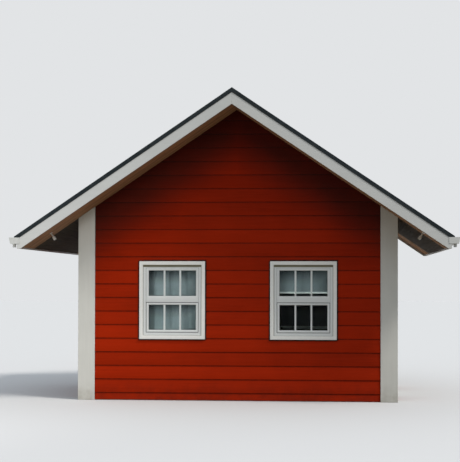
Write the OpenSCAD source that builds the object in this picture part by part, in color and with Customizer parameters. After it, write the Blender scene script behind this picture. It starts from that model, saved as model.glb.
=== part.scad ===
// Small gable hut: lapped siding over framed walls, sash windows in both
// gable walls, boxed roof edges, open gutters and a door in the right side.
// The front gable faces -Y and the origin is on the ground under the ridge.

/* [Body] */
// Width over the corner boards
body_w = 5000; // [4400:50:7000]
// Depth over the corner boards
body_d = 2800; // [2200:50:6000]
// Height of the soffit at the outer face of the corner boards
eave_h = 2857; // [2600:10:3600]
// Thickness of the framed walls, without siding
wall_t = 110; // [80:5:160]
// Thickness of the floor slab
floor_t = 100; // [60:10:200]
// Clearance round a piece that is fitted into an opening
fit_gap = 0.3; // [0.1:0.1:0.8]

/* [Siding and corner boards] */
// Height that each lapped board shows
lap_h = 213; // [120:1:300]
// Height of the lowest lap above the ground
first_lap_h = 123; // [60:1:200]
// Thickness of the siding at the lower edge of a board
lap_butt_t = 20; // [14:1:26]
// Thickness of the siding at the upper edge of a board
lap_head_t = 8; // [4:1:12]
// Height of the lower edge of the siding above the ground
siding_lift = 10; // [5:1:40]
// Clearance between the siding and the boards that frame it
siding_gap = 2; // [1:1:5]
// Width of each leg of the corner boards
corner_board_w = 265; // [100:5:320]
// Thickness of the corner boards
corner_board_t = 28; // [27:1:40]

/* [Roof] */
// Rise of the roof for each unit of run
roof_pitch = 0.675; // [0.5:0.005:0.9]
// Overhang past the gable walls, to the face of the bargeboards
verge_overhang = 800; // [300:10:1000]
// Overhang past the side walls, to the face of the fascias
eave_overhang = 744; // [400:2:1000]
// Thickness of the soffit boards
soffit_t = 12; // [8:1:20]
// Depth of the rafters, square to the slope
rafter_d = 98; // [80:1:160]
// Thickness of the rafters
rafter_t = 45; // [35:1:60]
// Greatest distance between rafters over the room
rafter_spacing = 600; // [400:50:800]
// Thickness of the ridge board
ridge_board_t = 45; // [30:1:60]
// Thickness of the roof deck
deck_t = 30; // [18:1:40]
// Distance that the deck runs past the bargeboards
deck_lip = 2; // [1:1:30]
// Length of slope that each course of shingles shows
course_l = 145; // [120:5:250]
// Thickness of the shingles at the lower edge of a course
course_butt_t = 24; // [18:1:30]
// Thickness of the shingles at the upper edge of a course
course_head_t = 15; // [10:1:17]
// Distance that the shingles run out over the gutters
shingle_drip = 40; // [20:1:60]
// Length of each leg of the ridge cap, down the slope
ridge_cap_l = 170; // [120:5:250]
// Thickness of the ridge cap
ridge_cap_t = 6; // [3:1:10]
// Thickness of the bent metal of the verge trims
verge_trim_t = 4; // [3:1:6]
// Width of the verge trims on top of the shingles
verge_trim_w = 70; // [40:5:120]

/* [Bargeboards and fascias] */
// Distance that the bargeboards reach below the soffit, square to the slope
bargeboard_drop = 36; // [10:1:80]
// Thickness of the bargeboards
bargeboard_t = 25; // [18:1:40]
// Length of the level cut under the tail of a bargeboard
tail_cut_l = 57; // [20:1:100]
// Thickness of the fascias
fascia_t = 25; // [18:1:40]

/* [Gutters] */
// Width of a gutter at its rim
gutter_w = 120; // [105:1:150]
// Width of a gutter at its bottom
gutter_base_w = 100; // [60:1:104]
// Depth of a gutter
gutter_h = 95; // [70:1:120]
// Height of a gutter's bottom above the lower edge of the fascia
gutter_lift = 71; // [10:1:71]
// Wall thickness of a gutter
gutter_wall = 3; // [2:0.5:5]
// Diameter of the bead along a gutter's rim
gutter_bead = 14; // [10:1:20]
// Distance that a gutter's end plates reach over the bargeboards
gutter_end_lap = 44; // [10:1:60]
// Outside diameter of the outlet spigots
outlet_dia = 48; // [30:1:60]
// Length of the outlet spigots below the gutter
outlet_l = 52; // [30:1:90]
// Distance of the outlets from the front end of the gutters
outlet_setback = 50; // [40:5:400]

/* [Eave lamps] */
// Distance of the lamps from the middle of the width
lamp_x = 2870; // [2800:5:3000]
// Distance of the lamps behind the front of the bargeboards
lamp_setback = 550; // [100:10:600]
// Diameter of the plate on the soffit
lamp_plate_dia = 50; // [44:1:90]
// Thickness of the plate on the soffit
lamp_plate_t = 6; // [4:1:12]
// Diameter of the lamp's neck
lamp_neck_dia = 24; // [16:1:40]
// Length of the lamp's neck
lamp_neck_l = 62; // [20:1:90]
// Diameter of the lamp's head
lamp_head_dia = 46; // [42:1:60]
// Length of the lamp's head
lamp_head_l = 54; // [30:1:90]
// Depth of the recess in the mouth of the head
lamp_recess = 8; // [4:1:20]
// Width of the rim round the recess
lamp_rim = 3; // [2:0.5:5]

/* [Windows] */
// Half the distance between the window centres
window_x = 1027; // [800:1:1100]
// Distance that the pair of windows lies to the right of the middle
window_shift = 16; // [-60:1:60]
// Height of the lower edge of the window casings
window_z = 958; // [700:1:1100]
// Width over the window casings
casing_w = 1035; // [800:5:1100]
// Height over the window casings
casing_h = 1218; // [1000:2:1300]
// Face width of the window casings
casing_face = 56; // [40:1:90]
// Distance that the casings stand proud of the corner boards
casing_proud = 10; // [2:1:20]
// Distance from the front of the casing to the front of the frame
frame_setback = 16; // [4:1:20]
// Face width of the window frame
frame_face = 46; // [25:1:60]
// Distance from the front of the casing to the sashes
sash_setback = 21; // [4:1:60]
// Thickness of both sashes, front to back
sash_t = 36; // [28:1:40]
// Face width of the sash stiles and outer rails
sash_face = 42; // [30:1:60]
// Height of the upper sash's meeting rail
upper_meeting_rail_h = 101; // [50:1:120]
// Height of the lower sash's meeting rail
lower_meeting_rail_h = 36; // [30:1:100]
// Clearance between the two meeting rails
meeting_gap = 2; // [1:0.5:5]
// Height of the upper panes
upper_pane_h = 398; // [300:1:420]
// Thickness of the glass
glass_t = 6; // [4:1:12]
// Width of the glazing bead in front of the glass
bead_w = 8; // [4:1:12]
// Distance of the glazing bead behind the face of the sash
bead_setback = 7; // [3:1:10]

/* [Blinds] */
// Distance that a blind is wider than the window frame, on each side
blind_side_lap = 20; // [0:1:60]
// Height and depth of the blind's headbox
blind_box = 64; // [50:1:90]
// Thickness of the blind's cloth
blind_cloth_t = 3; // [2:0.5:5]
// Height of the blind's bottom bar
blind_bar_h = 28; // [15:1:40]
// Thickness of the blind's bottom bar
blind_bar_t = 12; // [8:1:20]
// Height of the right blind's lower edge above the upper panes' lower edge
half_blind_lift = 40; // [0:1:300]
// Height of the other blinds' lower edge above the frame's lower edge
full_blind_lift = 25; // [5:1:60]

/* [Door] */
// Width of the door leaf
door_w = 820; // [700:5:920]
// Height of the door leaf
door_h = 2000; // [1900:5:2060]
// Thickness of the door leaf
door_t = 44; // [35:1:60]
// Thickness of the lining round the door
door_lining_t = 30; // [20:1:40]
// Face width of the casing round the door
door_casing_face = 90; // [60:1:120]
// Distance from the face of the casing to the face of the leaf
door_setback = 55; // [40:1:70]
// Number of sunk panels up the door
door_panel_rows = 3; // [1:1:5]
// Width of the door's rails and stiles
door_rail_w = 105; // [80:1:130]
// Depth of the panels behind the rails
door_panel_sink = 8; // [3:1:12]
// Height of the door handle above the floor
handle_h = 1000; // [900:10:1100]
// Diameter of the handle's round rose
rose_dia = 52; // [40:1:70]
// Thickness of the handle's rose
rose_t = 8; // [5:1:12]
// Diameter of the handle's lever
handle_dia = 20; // [14:1:26]
// Length of the handle's lever
handle_l = 120; // [90:5:150]
// Distance of the lever from the leaf
handle_reach = 45; // [35:1:60]

/* [Hidden] */

trim_white = "gainsboro";
siding_red = "firebrick";
roof_dark = "darkslategray";
timber_brown = "peru";
$fn = 48;

// A little more than any size it has to pass through
past = 50;

// Faces of the framed walls
core_x = body_w / 2 - corner_board_t;
core_y = body_d / 2 - corner_board_t;
room_x = core_x - wall_t;
room_y = core_y - wall_t;

// Heights of the sloping layers, square to the slope, above the soffit's face
slope_secant = sqrt(1 + roof_pitch * roof_pitch);
roof_angle = atan(roof_pitch);
soffit_apex = eave_h + roof_pitch * body_w / 2;
deck_base = soffit_t + rafter_d;
deck_top = deck_base + deck_t;
shingle_top = deck_top + course_butt_t;

// Outer faces of the roof's edges
fascia_x = body_w / 2 + eave_overhang;
bargeboard_y = body_d / 2 + verge_overhang;
deck_y = bargeboard_y + deck_lip;
shingle_x = fascia_x + shingle_drip;
tail_z = roof_z(fascia_x - tail_cut_l, -bargeboard_drop);
gutter_base_z = tail_z + gutter_lift;
gutter_rim_z = gutter_base_z + gutter_h;
cap_reach = ridge_cap_l / slope_secant;

// Window centres across the width
left_window_x = window_shift - window_x;
right_window_x = window_shift + window_x;

// Places in a window, measured from its casing's lower edge and front face
casing_front_y = body_d / 2 + casing_proud;
frame_w = casing_w - 2 * casing_face - 2 * fit_gap;
frame_h = casing_h - 2 * casing_face - 2 * fit_gap;
frame_z = casing_face + fit_gap;
frame_depth = casing_front_y - frame_setback - room_y;
sash_w = frame_w - 2 * frame_face - 2 * fit_gap;
sash_z = frame_z + frame_face + fit_gap;
sash_zone_h = frame_h - 2 * frame_face - 2 * fit_gap;
upper_sash_h = sash_face + upper_pane_h + upper_meeting_rail_h;
upper_sash_z = sash_z + sash_zone_h - upper_sash_h;
lower_sash_h = sash_zone_h - upper_sash_h - meeting_gap;
upper_pane_z = upper_sash_z + upper_meeting_rail_h;

// Places in the doorway
doorway_w = door_w + 2 * fit_gap + 2 * door_lining_t;
doorway_h = door_h + 2 * fit_gap + door_lining_t;
door_casing_w = doorway_w + 2 * door_casing_face;
door_casing_top = floor_t + doorway_h + door_casing_face;
door_face_x = body_w / 2 + casing_proud;

// Height of a sloping layer above the ground, where cover is its height
// above the soffit's face, square to the slope
function roof_z(x, cover) = soffit_apex - roof_pitch * abs(x) + cover * slope_secant;

// Point of the right slope, down it by along and square to it by cover
function slope_point(along, cover) = [
    along * cos(roof_angle) + cover * sin(roof_angle),
    soffit_apex - along * sin(roof_angle) + cover * cos(roof_angle)
];

// Lower edge of board i, where board 0 starts below the ground
function lap_z(i) = first_lap_h + (i - 1) * lap_h;

// Carries an outline drawn in X and Z along Y
module along_y(from, to) {
    translate([0, to, 0]) rotate([90, 0, 0]) linear_extrude(to - from) children();
}

// Carries an outline drawn in Y and Z along X
module along_x(from, to) {
    translate([from, 0, 0]) rotate([90, 0, 90]) linear_extrude(to - from) children();
}

module to_left() {
    mirror([1, 0, 0]) children();
}

module to_rear() {
    mirror([0, 1, 0]) children();
}

module left_and_right() {
    children();
    to_left() children();
}

module front_and_rear() {
    children();
    to_rear() children();
}

// Gable outline from a base height up to a sloping layer
module gable_outline(half_w, cover, base = 0) {
    polygon([
        [-half_w, base], [half_w, base], [half_w, roof_z(half_w, cover)],
        [0, roof_z(0, cover)], [-half_w, roof_z(half_w, cover)]
    ]);
}

// Band of the right slope between two plumb cuts and two layers
module slope_band(x_from, x_to, cover_from, cover_to) {
    polygon([
        [x_from, roof_z(x_from, cover_from)], [x_to, roof_z(x_to, cover_from)],
        [x_to, roof_z(x_to, cover_to)], [x_from, roof_z(x_from, cover_to)]
    ]);
}

// Gable-shaped band of both slopes between two layers
module gable_band(half_w, cover_from, cover_to) {
    polygon([
        [-half_w, roof_z(half_w, cover_from)], [0, roof_z(0, cover_from)],
        [half_w, roof_z(half_w, cover_from)], [half_w, roof_z(half_w, cover_to)],
        [0, roof_z(0, cover_to)], [-half_w, roof_z(half_w, cover_to)]
    ]);
}

// Outline w by h, centred on X and standing on a height
module upright(w, h, base) {
    translate([-w / 2, base]) square([w, h]);
}

// Saw-tooth section of the siding, outwards along X and upwards along Y
module lap_section() {
    boards = ceil((soffit_apex - first_lap_h) / lap_h) + 1;
    polygon(concat(
        [[0, lap_z(0)]],
        [for (i = [0 : boards - 1]) each [[lap_butt_t, lap_z(i)], [lap_head_t, lap_z(i + 1)]]],
        [[0, lap_z(boards)]]
    ));
}

// Stepped section of the shingles on the right slope, from the eave upwards
module shingle_section() {
    eave_l = shingle_x * slope_secant;
    courses = ceil(eave_l / course_l) + 1;
    intersection() {
        polygon(concat(
            [slope_point(eave_l, deck_top)],
            [for (i = [0 : courses - 1]) each [
                slope_point(eave_l - i * course_l, deck_top + course_butt_t),
                slope_point(eave_l - (i + 1) * course_l, deck_top + course_head_t)
            ]],
            [slope_point(eave_l - courses * course_l, deck_top)]
        ));
        translate([fit_gap / 2, 0]) square([shingle_x, roof_z(0, deck_top + course_head_t)]);
    }
}

// Rectangular ring in a window, with its lower edge at z and its face at y
module window_ring(w, h, z, y, t, side, top, bottom) {
    along_y(y, y + t) difference() {
        upright(w, h, z);
        upright(w - 2 * side, h - top - bottom, z + bottom);
    }
}

// Sash with a glazing bead that stands back from its face
module sash(h, z, top, bottom) {
    rail_side = sash_face - bead_w;
    window_ring(sash_w, h, z, sash_setback, bead_setback, rail_side, top - bead_w, bottom - bead_w);
    window_ring(sash_w, h, z, sash_setback + bead_setback, sash_t - bead_setback, sash_face, top, bottom);
}

// Pane that fills a sash between its glazing beads
module pane(h, z, top, bottom) {
    y = sash_setback + (sash_t - glass_t) / 2;
    along_y(y, y + glass_t)
        upright(sash_w - 2 * sash_face - 2 * fit_gap, h - top - bottom - 2 * fit_gap, z + bottom + fit_gap);
}

// Sets a piece drawn at a window's origin into both windows of the front wall
module in_both_windows() {
    for (x = [left_window_x, right_window_x]) in_window(x) children();
}

module in_window(x) {
    translate([x, -casing_front_y, window_z]) children();
}

// Openings of a gable wall, drawn in X and Z
module window_outlines(w, h, base) {
    for (x = [left_window_x, right_window_x]) translate([x, window_z]) upright(w, h, base);
}

module floor_slab() {
    color("darkgray") translate([-room_x, -room_y, 0]) cube([2 * room_x, 2 * room_y, floor_t]);
}

// Gable wall up to the underside of the deck, notched for the ridge board
module gable_wall() {
    color("burlywood") along_y(-core_y, -room_y) difference() {
        gable_outline(core_x, deck_base);
        window_outlines(casing_w - 2 * casing_face, casing_h - 2 * casing_face, casing_face);
        translate([0, -fit_gap]) upright(ridge_board_t + 2 * fit_gap, deck_base * slope_secant + past, roof_z(0, soffit_t));
    }
}

module front_wall() {
    gable_wall();
}

module rear_wall() {
    to_rear() gable_wall();
}

// Side wall between the gable walls, bevelled under the rafters
module side_wall() {
    along_y(-room_y, room_y) polygon([
        [room_x, 0], [core_x, 0],
        [core_x, roof_z(core_x, soffit_t)], [room_x, roof_z(room_x, soffit_t)]
    ]);
}

module left_wall() {
    color("burlywood") to_left() side_wall();
}

module right_wall() {
    color("burlywood") difference() {
        side_wall();
        along_x(room_x - past, core_x + past) upright(doorway_w, doorway_h, floor_t);
    }
}

// Siding of a gable wall between its corner boards, cut round the casings
module gable_siding() {
    half_w = body_w / 2 - corner_board_w - siding_gap;
    color(siding_red) intersection() {
        along_x(-half_w, half_w) translate([-core_y, 0]) mirror([1, 0]) lap_section();
        along_y(-core_y - lap_butt_t - past, -core_y + past) difference() {
            gable_outline(half_w + past, 0, siding_lift);
            window_outlines(casing_w + 2 * siding_gap, casing_h + 2 * siding_gap, -siding_gap);
        }
    }
}

module front_siding() {
    gable_siding();
}

module rear_siding() {
    to_rear() gable_siding();
}

// Siding of a side wall, up to the slope of the soffit
module side_siding() {
    half_d = body_d / 2 - corner_board_w - siding_gap;
    along_y(-half_d, half_d) intersection() {
        translate([core_x, 0]) lap_section();
        gable_outline(core_x + lap_butt_t + past, 0, siding_lift);
    }
}

module left_siding() {
    color(siding_red) to_left() side_siding();
}

module right_siding() {
    hole_w = door_casing_w + 2 * siding_gap;
    color(siding_red) difference() {
        side_siding();
        along_x(core_x - past, core_x + past) upright(hole_w, door_casing_top + siding_gap, 0);
    }
}

// Front right corner board: two legs that wrap the corner, cut to the soffit
module corner_board() {
    inner_leg = corner_board_w - corner_board_t;
    color(trim_white) intersection() {
        translate([body_w / 2, -body_d / 2, 0]) linear_extrude(soffit_apex) difference() {
            translate([-corner_board_w, 0]) square(corner_board_w);
            translate([-corner_board_w - past, corner_board_t]) square([inner_leg + past, inner_leg + past]);
        }
        along_y(-body_d, body_d) gable_outline(body_w, 0);
    }
}

module front_left_corner_board() {
    to_left() corner_board();
}

module front_right_corner_board() {
    corner_board();
}

module rear_left_corner_board() {
    to_rear() to_left() corner_board();
}

module rear_right_corner_board() {
    to_rear() corner_board();
}

// Ridge board between the bargeboards, its top bevelled to both slopes
module ridge_board() {
    half_t = ridge_board_t / 2;
    foot = roof_z(0, soffit_t);
    color(timber_brown) along_y(-bargeboard_y + bargeboard_t, bargeboard_y - bargeboard_t) polygon([
        [-half_t, foot], [half_t, foot], [half_t, roof_z(half_t, deck_base)],
        [0, roof_z(0, deck_base)], [-half_t, roof_z(half_t, deck_base)]
    ]);
}

// Rafters over the room at even spacing, and two in each verge
module rafters() {
    bays = ceil(2 * room_y / rafter_spacing);
    over_room = [for (i = [1 : bays - 1]) -room_y + 2 * room_y * i / bays];
    behind_bargeboard = bargeboard_y - bargeboard_t - rafter_t / 2;
    mid_verge = (core_y + behind_bargeboard) / 2;
    in_verges = [for (side = [-1, 1], y = [mid_verge, behind_bargeboard]) side * y];
    color(timber_brown) left_and_right() for (y = concat(over_room, in_verges))
        along_y(y - rafter_t / 2, y + rafter_t / 2)
            slope_band(ridge_board_t / 2, fascia_x - fascia_t, soffit_t, deck_base);
}

// Soffit boards of the right slope round the outside of the walls
module soffit() {
    inner_y = bargeboard_y - bargeboard_t;
    color(timber_brown) difference() {
        along_y(-inner_y, inner_y) slope_band(fit_gap / 2, fascia_x - fascia_t, 0, soffit_t);
        translate([-core_x, -core_y, 0]) cube([2 * core_x, 2 * core_y, 2 * soffit_apex]);
    }
}

module left_soffit() {
    to_left() soffit();
}

module right_soffit() {
    soffit();
}

// Bargeboards of one gable, which meet in a plumb joint under the ridge
module gable_bargeboards() {
    low = -bargeboard_drop;
    joint_x = fit_gap / 2;
    color(trim_white) left_and_right() along_y(-bargeboard_y, -bargeboard_y + bargeboard_t) polygon([
        [joint_x, roof_z(joint_x, low)], [fascia_x - tail_cut_l, tail_z], [fascia_x, tail_z],
        [fascia_x, roof_z(fascia_x, deck_base)], [joint_x, roof_z(joint_x, deck_base)]
    ]);
}

module front_bargeboards() {
    gable_bargeboards();
}

module rear_bargeboards() {
    to_rear() gable_bargeboards();
}

// Fascias between the bargeboards, their tops bevelled under the deck
module fascias() {
    inner_x = fascia_x - fascia_t;
    inner_y = bargeboard_y - bargeboard_t;
    color(trim_white) left_and_right() along_y(-inner_y, inner_y) polygon([
        [inner_x, tail_z], [fascia_x, tail_z],
        [fascia_x, roof_z(fascia_x, deck_base)], [inner_x, roof_z(inner_x, deck_base)]
    ]);
}

module roof_deck() {
    color("tan") along_y(-deck_y, deck_y) slope_band(fit_gap / 2, fascia_x, deck_base, deck_top);
}

module left_roof_deck() {
    to_left() roof_deck();
}

module right_roof_deck() {
    roof_deck();
}

module shingles() {
    color(roof_dark) along_y(-deck_y, deck_y) shingle_section();
}

module left_shingles() {
    to_left() shingles();
}

module right_shingles() {
    shingles();
}

// Folded cap over the top courses of both slopes
module ridge_cap() {
    color(roof_dark) along_y(-deck_y, deck_y) gable_band(cap_reach, shingle_top, shingle_top + ridge_cap_t);
}

// Bent metal that covers the deck's edge and laps onto the shingles, cut out
// round the ridge cap and over the gutters' end plates
module verge_trims() {
    trim_top = shingle_top + verge_trim_t;
    plate_x = fascia_x - gutter_end_lap - fit_gap;
    color(roof_dark) front_and_rear() {
        along_y(-deck_y - verge_trim_t, -deck_y) difference() {
            gable_band(shingle_x, deck_base, trim_top);
            left_and_right() translate([plate_x, 0]) square([shingle_x, gutter_rim_z + fit_gap]);
        }
        along_y(-deck_y, -deck_y + verge_trim_w) difference() {
            gable_band(shingle_x, shingle_top, trim_top);
            upright(2 * cap_reach + 2 * fit_gap, soffit_apex, roof_z(cap_reach, 0));
        }
    }
}

// Right gutter: open trough with a rim bead, end plates that lap over the
// bargeboards, and an outlet spigot
module gutter() {
    plate_y = deck_y + fit_gap;
    end_y = plate_y + gutter_wall;
    slant = (gutter_w - gutter_base_w) / gutter_h;
    outlet_x = fascia_x + gutter_base_w / 2;
    outlet_y = -bargeboard_y + outlet_setback;
    bead_x = fascia_x + gutter_w - gutter_bead / 2;
    bead_z = gutter_rim_z - gutter_bead / 2;
    color(trim_white) along_y(-end_y, end_y) translate([bead_x, bead_z]) circle(d = gutter_bead);
    color(trim_white) front_and_rear() along_y(-end_y, -plate_y)
        translate([fascia_x - gutter_end_lap, gutter_base_z]) square([gutter_end_lap, gutter_h]);
    color(trim_white) difference() {
        union() {
            translate([fascia_x, 0, gutter_base_z]) along_y(-end_y, end_y) polygon([
                [0, 0], [gutter_base_w, 0], [gutter_w, gutter_h], [0, gutter_h]
            ]);
            translate([outlet_x, outlet_y, gutter_base_z - outlet_l]) cylinder(d = outlet_dia, h = outlet_l);
        }
        translate([fascia_x, 0, gutter_base_z]) along_y(-plate_y, plate_y) polygon([
            [gutter_wall, gutter_wall],
            [gutter_base_w - gutter_wall + slant * gutter_wall, gutter_wall],
            [gutter_w - gutter_wall + slant * past, gutter_h + past],
            [gutter_wall, gutter_h + past]
        ]);
        translate([outlet_x, outlet_y, gutter_base_z - outlet_l - past])
            cylinder(d = outlet_dia - 2 * gutter_wall, h = outlet_l + 2 * past);
    }
}

module left_gutter() {
    to_left() gutter();
}

module right_gutter() {
    gutter();
}

// Spot lamps that stand square to the soffit, one near each front corner
module eave_lamps() {
    color(trim_white) left_and_right()
        translate([lamp_x, -bargeboard_y + lamp_setback, roof_z(lamp_x, 0)])
            rotate([0, roof_angle, 0]) mirror([0, 0, 1]) difference() {
                union() {
                    cylinder(d = lamp_plate_dia, h = lamp_plate_t);
                    cylinder(d = lamp_neck_dia, h = lamp_plate_t + lamp_neck_l);
                    translate([0, 0, lamp_plate_t + lamp_neck_l]) cylinder(d = lamp_head_dia, h = lamp_head_l);
                }
                translate([0, 0, lamp_plate_t + lamp_neck_l + lamp_head_l - lamp_recess])
                    cylinder(d = lamp_head_dia - 2 * lamp_rim, h = lamp_recess + past);
            }
}

module window_casing() {
    t = casing_front_y - core_y;
    color(trim_white) window_ring(casing_w, casing_h, 0, 0, t, casing_face, casing_face, casing_face);
}

module window_frame() {
    color(trim_white)
        window_ring(frame_w, frame_h, frame_z, frame_setback, frame_depth, frame_face, frame_face, frame_face);
}

module upper_sash() {
    color(trim_white) sash(upper_sash_h, upper_sash_z, sash_face, upper_meeting_rail_h);
}

module lower_sash() {
    color(trim_white) sash(lower_sash_h, sash_z, lower_meeting_rail_h, sash_face);
}

module glass() {
    color("lightsteelblue") {
        pane(upper_sash_h, upper_sash_z, sash_face, upper_meeting_rail_h);
        pane(lower_sash_h, sash_z, lower_meeting_rail_h, sash_face);
    }
}

// Roller blind on the inner face of the wall, drawn down to a height
module blind(lower_edge) {
    w = frame_w + 2 * blind_side_lap;
    wall_y = casing_front_y - room_y;
    cloth_y = wall_y + blind_box / 2;
    box_z = frame_z + frame_h;
    color("lightgray") {
        along_y(wall_y, wall_y + blind_box) upright(w, blind_box, box_z);
        along_y(cloth_y - blind_cloth_t / 2, cloth_y + blind_cloth_t / 2)
            upright(w, box_z - lower_edge, lower_edge);
        along_y(cloth_y - blind_bar_t / 2, cloth_y + blind_bar_t / 2) upright(w, blind_bar_h, lower_edge);
    }
}

module front_left_blind() {
    in_window(left_window_x) blind(frame_z + full_blind_lift);
}

module front_right_blind() {
    in_window(right_window_x) blind(upper_pane_z + half_blind_lift);
}

module rear_blinds() {
    to_rear() in_both_windows() blind(frame_z + full_blind_lift);
}

module front_window_casings() {
    in_both_windows() window_casing();
}

module front_window_frames() {
    in_both_windows() window_frame();
}

module front_upper_sashes() {
    in_both_windows() upper_sash();
}

module front_lower_sashes() {
    in_both_windows() lower_sash();
}

module front_glass() {
    in_both_windows() glass();
}

module rear_window_casings() {
    to_rear() front_window_casings();
}

module rear_window_frames() {
    to_rear() front_window_frames();
}

module rear_upper_sashes() {
    to_rear() front_upper_sashes();
}

module rear_lower_sashes() {
    to_rear() front_lower_sashes();
}

module rear_glass() {
    to_rear() front_glass();
}

// Casing on the face of the wall and lining through it, round the doorway
module door_casing() {
    leg_h = doorway_h - fit_gap;
    color(trim_white) {
        along_x(core_x, door_face_x) difference() {
            upright(door_casing_w, door_casing_top, 0);
            upright(door_w + 2 * fit_gap, door_h + 2 * fit_gap, floor_t);
        }
        along_x(room_x, core_x) difference() {
            upright(doorway_w - 2 * fit_gap, leg_h - fit_gap, floor_t + fit_gap);
            upright(door_w + 2 * fit_gap, door_h + fit_gap, floor_t);
        }
    }
}

// Door leaf with sunk panels on its outer face
module door_leaf() {
    face_x = door_face_x - door_setback;
    panel_w = door_w - 2 * door_rail_w;
    panel_h = (door_h - (door_panel_rows + 1) * door_rail_w) / door_panel_rows;
    color("whitesmoke") difference() {
        along_x(face_x - door_t, face_x) upright(door_w, door_h, floor_t + fit_gap);
        for (row = [0 : door_panel_rows - 1])
            along_x(face_x - door_panel_sink, face_x + past)
                upright(panel_w, panel_h, floor_t + fit_gap + door_rail_w + row * (panel_h + door_rail_w));
    }
}

// Lever handle on a round rose, near the leaf's front edge
module door_handle() {
    face_x = door_face_x - door_setback;
    y = -door_w / 2 + door_rail_w / 2;
    color("silver") translate([face_x, y, floor_t + handle_h]) {
        rotate([0, 90, 0]) cylinder(d = rose_dia, h = rose_t);
        rotate([0, 90, 0]) cylinder(d = handle_dia, h = handle_reach);
        translate([handle_reach - handle_dia / 2, -handle_dia / 2, 0])
            rotate([-90, 0, 0]) cylinder(d = handle_dia, h = handle_l);
    }
}

floor_slab();
front_wall();
rear_wall();
left_wall();
right_wall();
front_siding();
rear_siding();
left_siding();
right_siding();
front_left_corner_board();
front_right_corner_board();
rear_left_corner_board();
rear_right_corner_board();
ridge_board();
rafters();
left_soffit();
right_soffit();
front_bargeboards();
rear_bargeboards();
fascias();
left_roof_deck();
right_roof_deck();
left_shingles();
right_shingles();
ridge_cap();
verge_trims();
left_gutter();
right_gutter();
eave_lamps();
front_window_casings();
front_window_frames();
front_upper_sashes();
front_lower_sashes();
front_glass();
front_left_blind();
front_right_blind();
rear_window_casings();
rear_window_frames();
rear_upper_sashes();
rear_lower_sashes();
rear_glass();
rear_blinds();
door_casing();
door_leaf();
door_handle();
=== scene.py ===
"""Finish and fine pieces of a small clapboard gable hut, set round its construction model.

Every length is in metres and every piece lies in the model's own frame: +Z is up, the front
gable faces -Y, and the ridge runs along Y above the origin.
"""

import logging
import math
from collections.abc import Callable, Sequence
from dataclasses import dataclass, field, replace
from enum import Enum
from functools import lru_cache

import bmesh
import bpy
import numpy as np
from mathutils import Matrix, Vector


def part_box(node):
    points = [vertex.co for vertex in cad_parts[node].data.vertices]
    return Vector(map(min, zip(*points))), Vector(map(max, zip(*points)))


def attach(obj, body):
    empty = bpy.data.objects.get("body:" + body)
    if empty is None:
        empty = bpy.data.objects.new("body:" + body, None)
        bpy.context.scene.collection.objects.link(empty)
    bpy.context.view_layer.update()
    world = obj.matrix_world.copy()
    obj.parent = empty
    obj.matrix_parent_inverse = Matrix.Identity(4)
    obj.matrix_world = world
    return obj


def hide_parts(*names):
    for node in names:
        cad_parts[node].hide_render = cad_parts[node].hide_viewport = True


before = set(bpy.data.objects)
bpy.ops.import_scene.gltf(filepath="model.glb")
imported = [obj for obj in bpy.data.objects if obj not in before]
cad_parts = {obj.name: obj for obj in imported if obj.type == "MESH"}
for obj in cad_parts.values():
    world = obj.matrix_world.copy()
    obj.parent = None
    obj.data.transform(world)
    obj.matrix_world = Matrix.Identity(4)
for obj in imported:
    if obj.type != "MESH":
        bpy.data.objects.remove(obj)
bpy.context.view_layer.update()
BODY = "root"
HANDS = {"right": 1, "left": -1}
X_WAY, Y_WAY, Z_WAY = np.eye(3)
log = logging.getLogger("hut")

# A window's centre from the middle of a gable's windows, and their shift to the right.
WINDOW_X = 1.027
WINDOW_SHIFT = 0.016

# A lowered blind's edge above the frame's foot, and the raised one's above the meeting rails.
LOWERED_EDGE = 0.025
RAISED_EDGE = 0.040

# Angle past which an edge stays sharp, gets a bevel, or parts two faces of an eased node.
SMOOTH_ANGLE = math.radians(35)
BEVEL_ANGLE = math.radians(30)
FLAT_ANGLE = math.radians(0.5)

Array = np.ndarray
Span = tuple[float, float]
Triple = tuple[float, float, float]
Colour = tuple[float, float, float, float]
Object = bpy.types.Object
Socket = bpy.types.NodeSocket

# The full span of a mask, and the span that noise mostly keeps to.
UNIT: Span = (0.0, 1.0)
MIDDLE: Span = (0.3, 0.7)


def srgb(*parts: int) -> Colour:
    """Linear colour of a screen colour from 0 to 255: a power curve above a short straight foot."""
    level = np.array(parts) / 255
    return (*np.where(level <= 0.04045, level / 12.92, ((level + 0.055) / 1.055) ** 2.4).tolist(), 1.0)


def scaled_colour(colour: Colour, factor: float) -> Colour:
    """A colour with each part times a factor, held at 1."""
    return (*(min(1.0, part * factor) for part in colour[:3]), 1.0)


class Side(Enum):
    """A wall of the hut."""

    FRONT = "front"
    REAR = "rear"
    LEFT = "left"
    RIGHT = "right"

    def place(self, plan: Array) -> Array:
        """Carries points of this wall into the frame.

        Args:
            plan: Points (..., 3): along the wall, out from the hut's middle, and up.

        Returns:
            The same points as X, Y and Z.
        """
        along, out, up = np.moveaxis(plan, -1, 0)
        turned = {
            Side.FRONT: (along, -out, up), Side.REAR: (-along, out, up),
            Side.LEFT: (-out, -along, up), Side.RIGHT: (out, along, up),
        }
        return np.stack(turned[self], -1)


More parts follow.
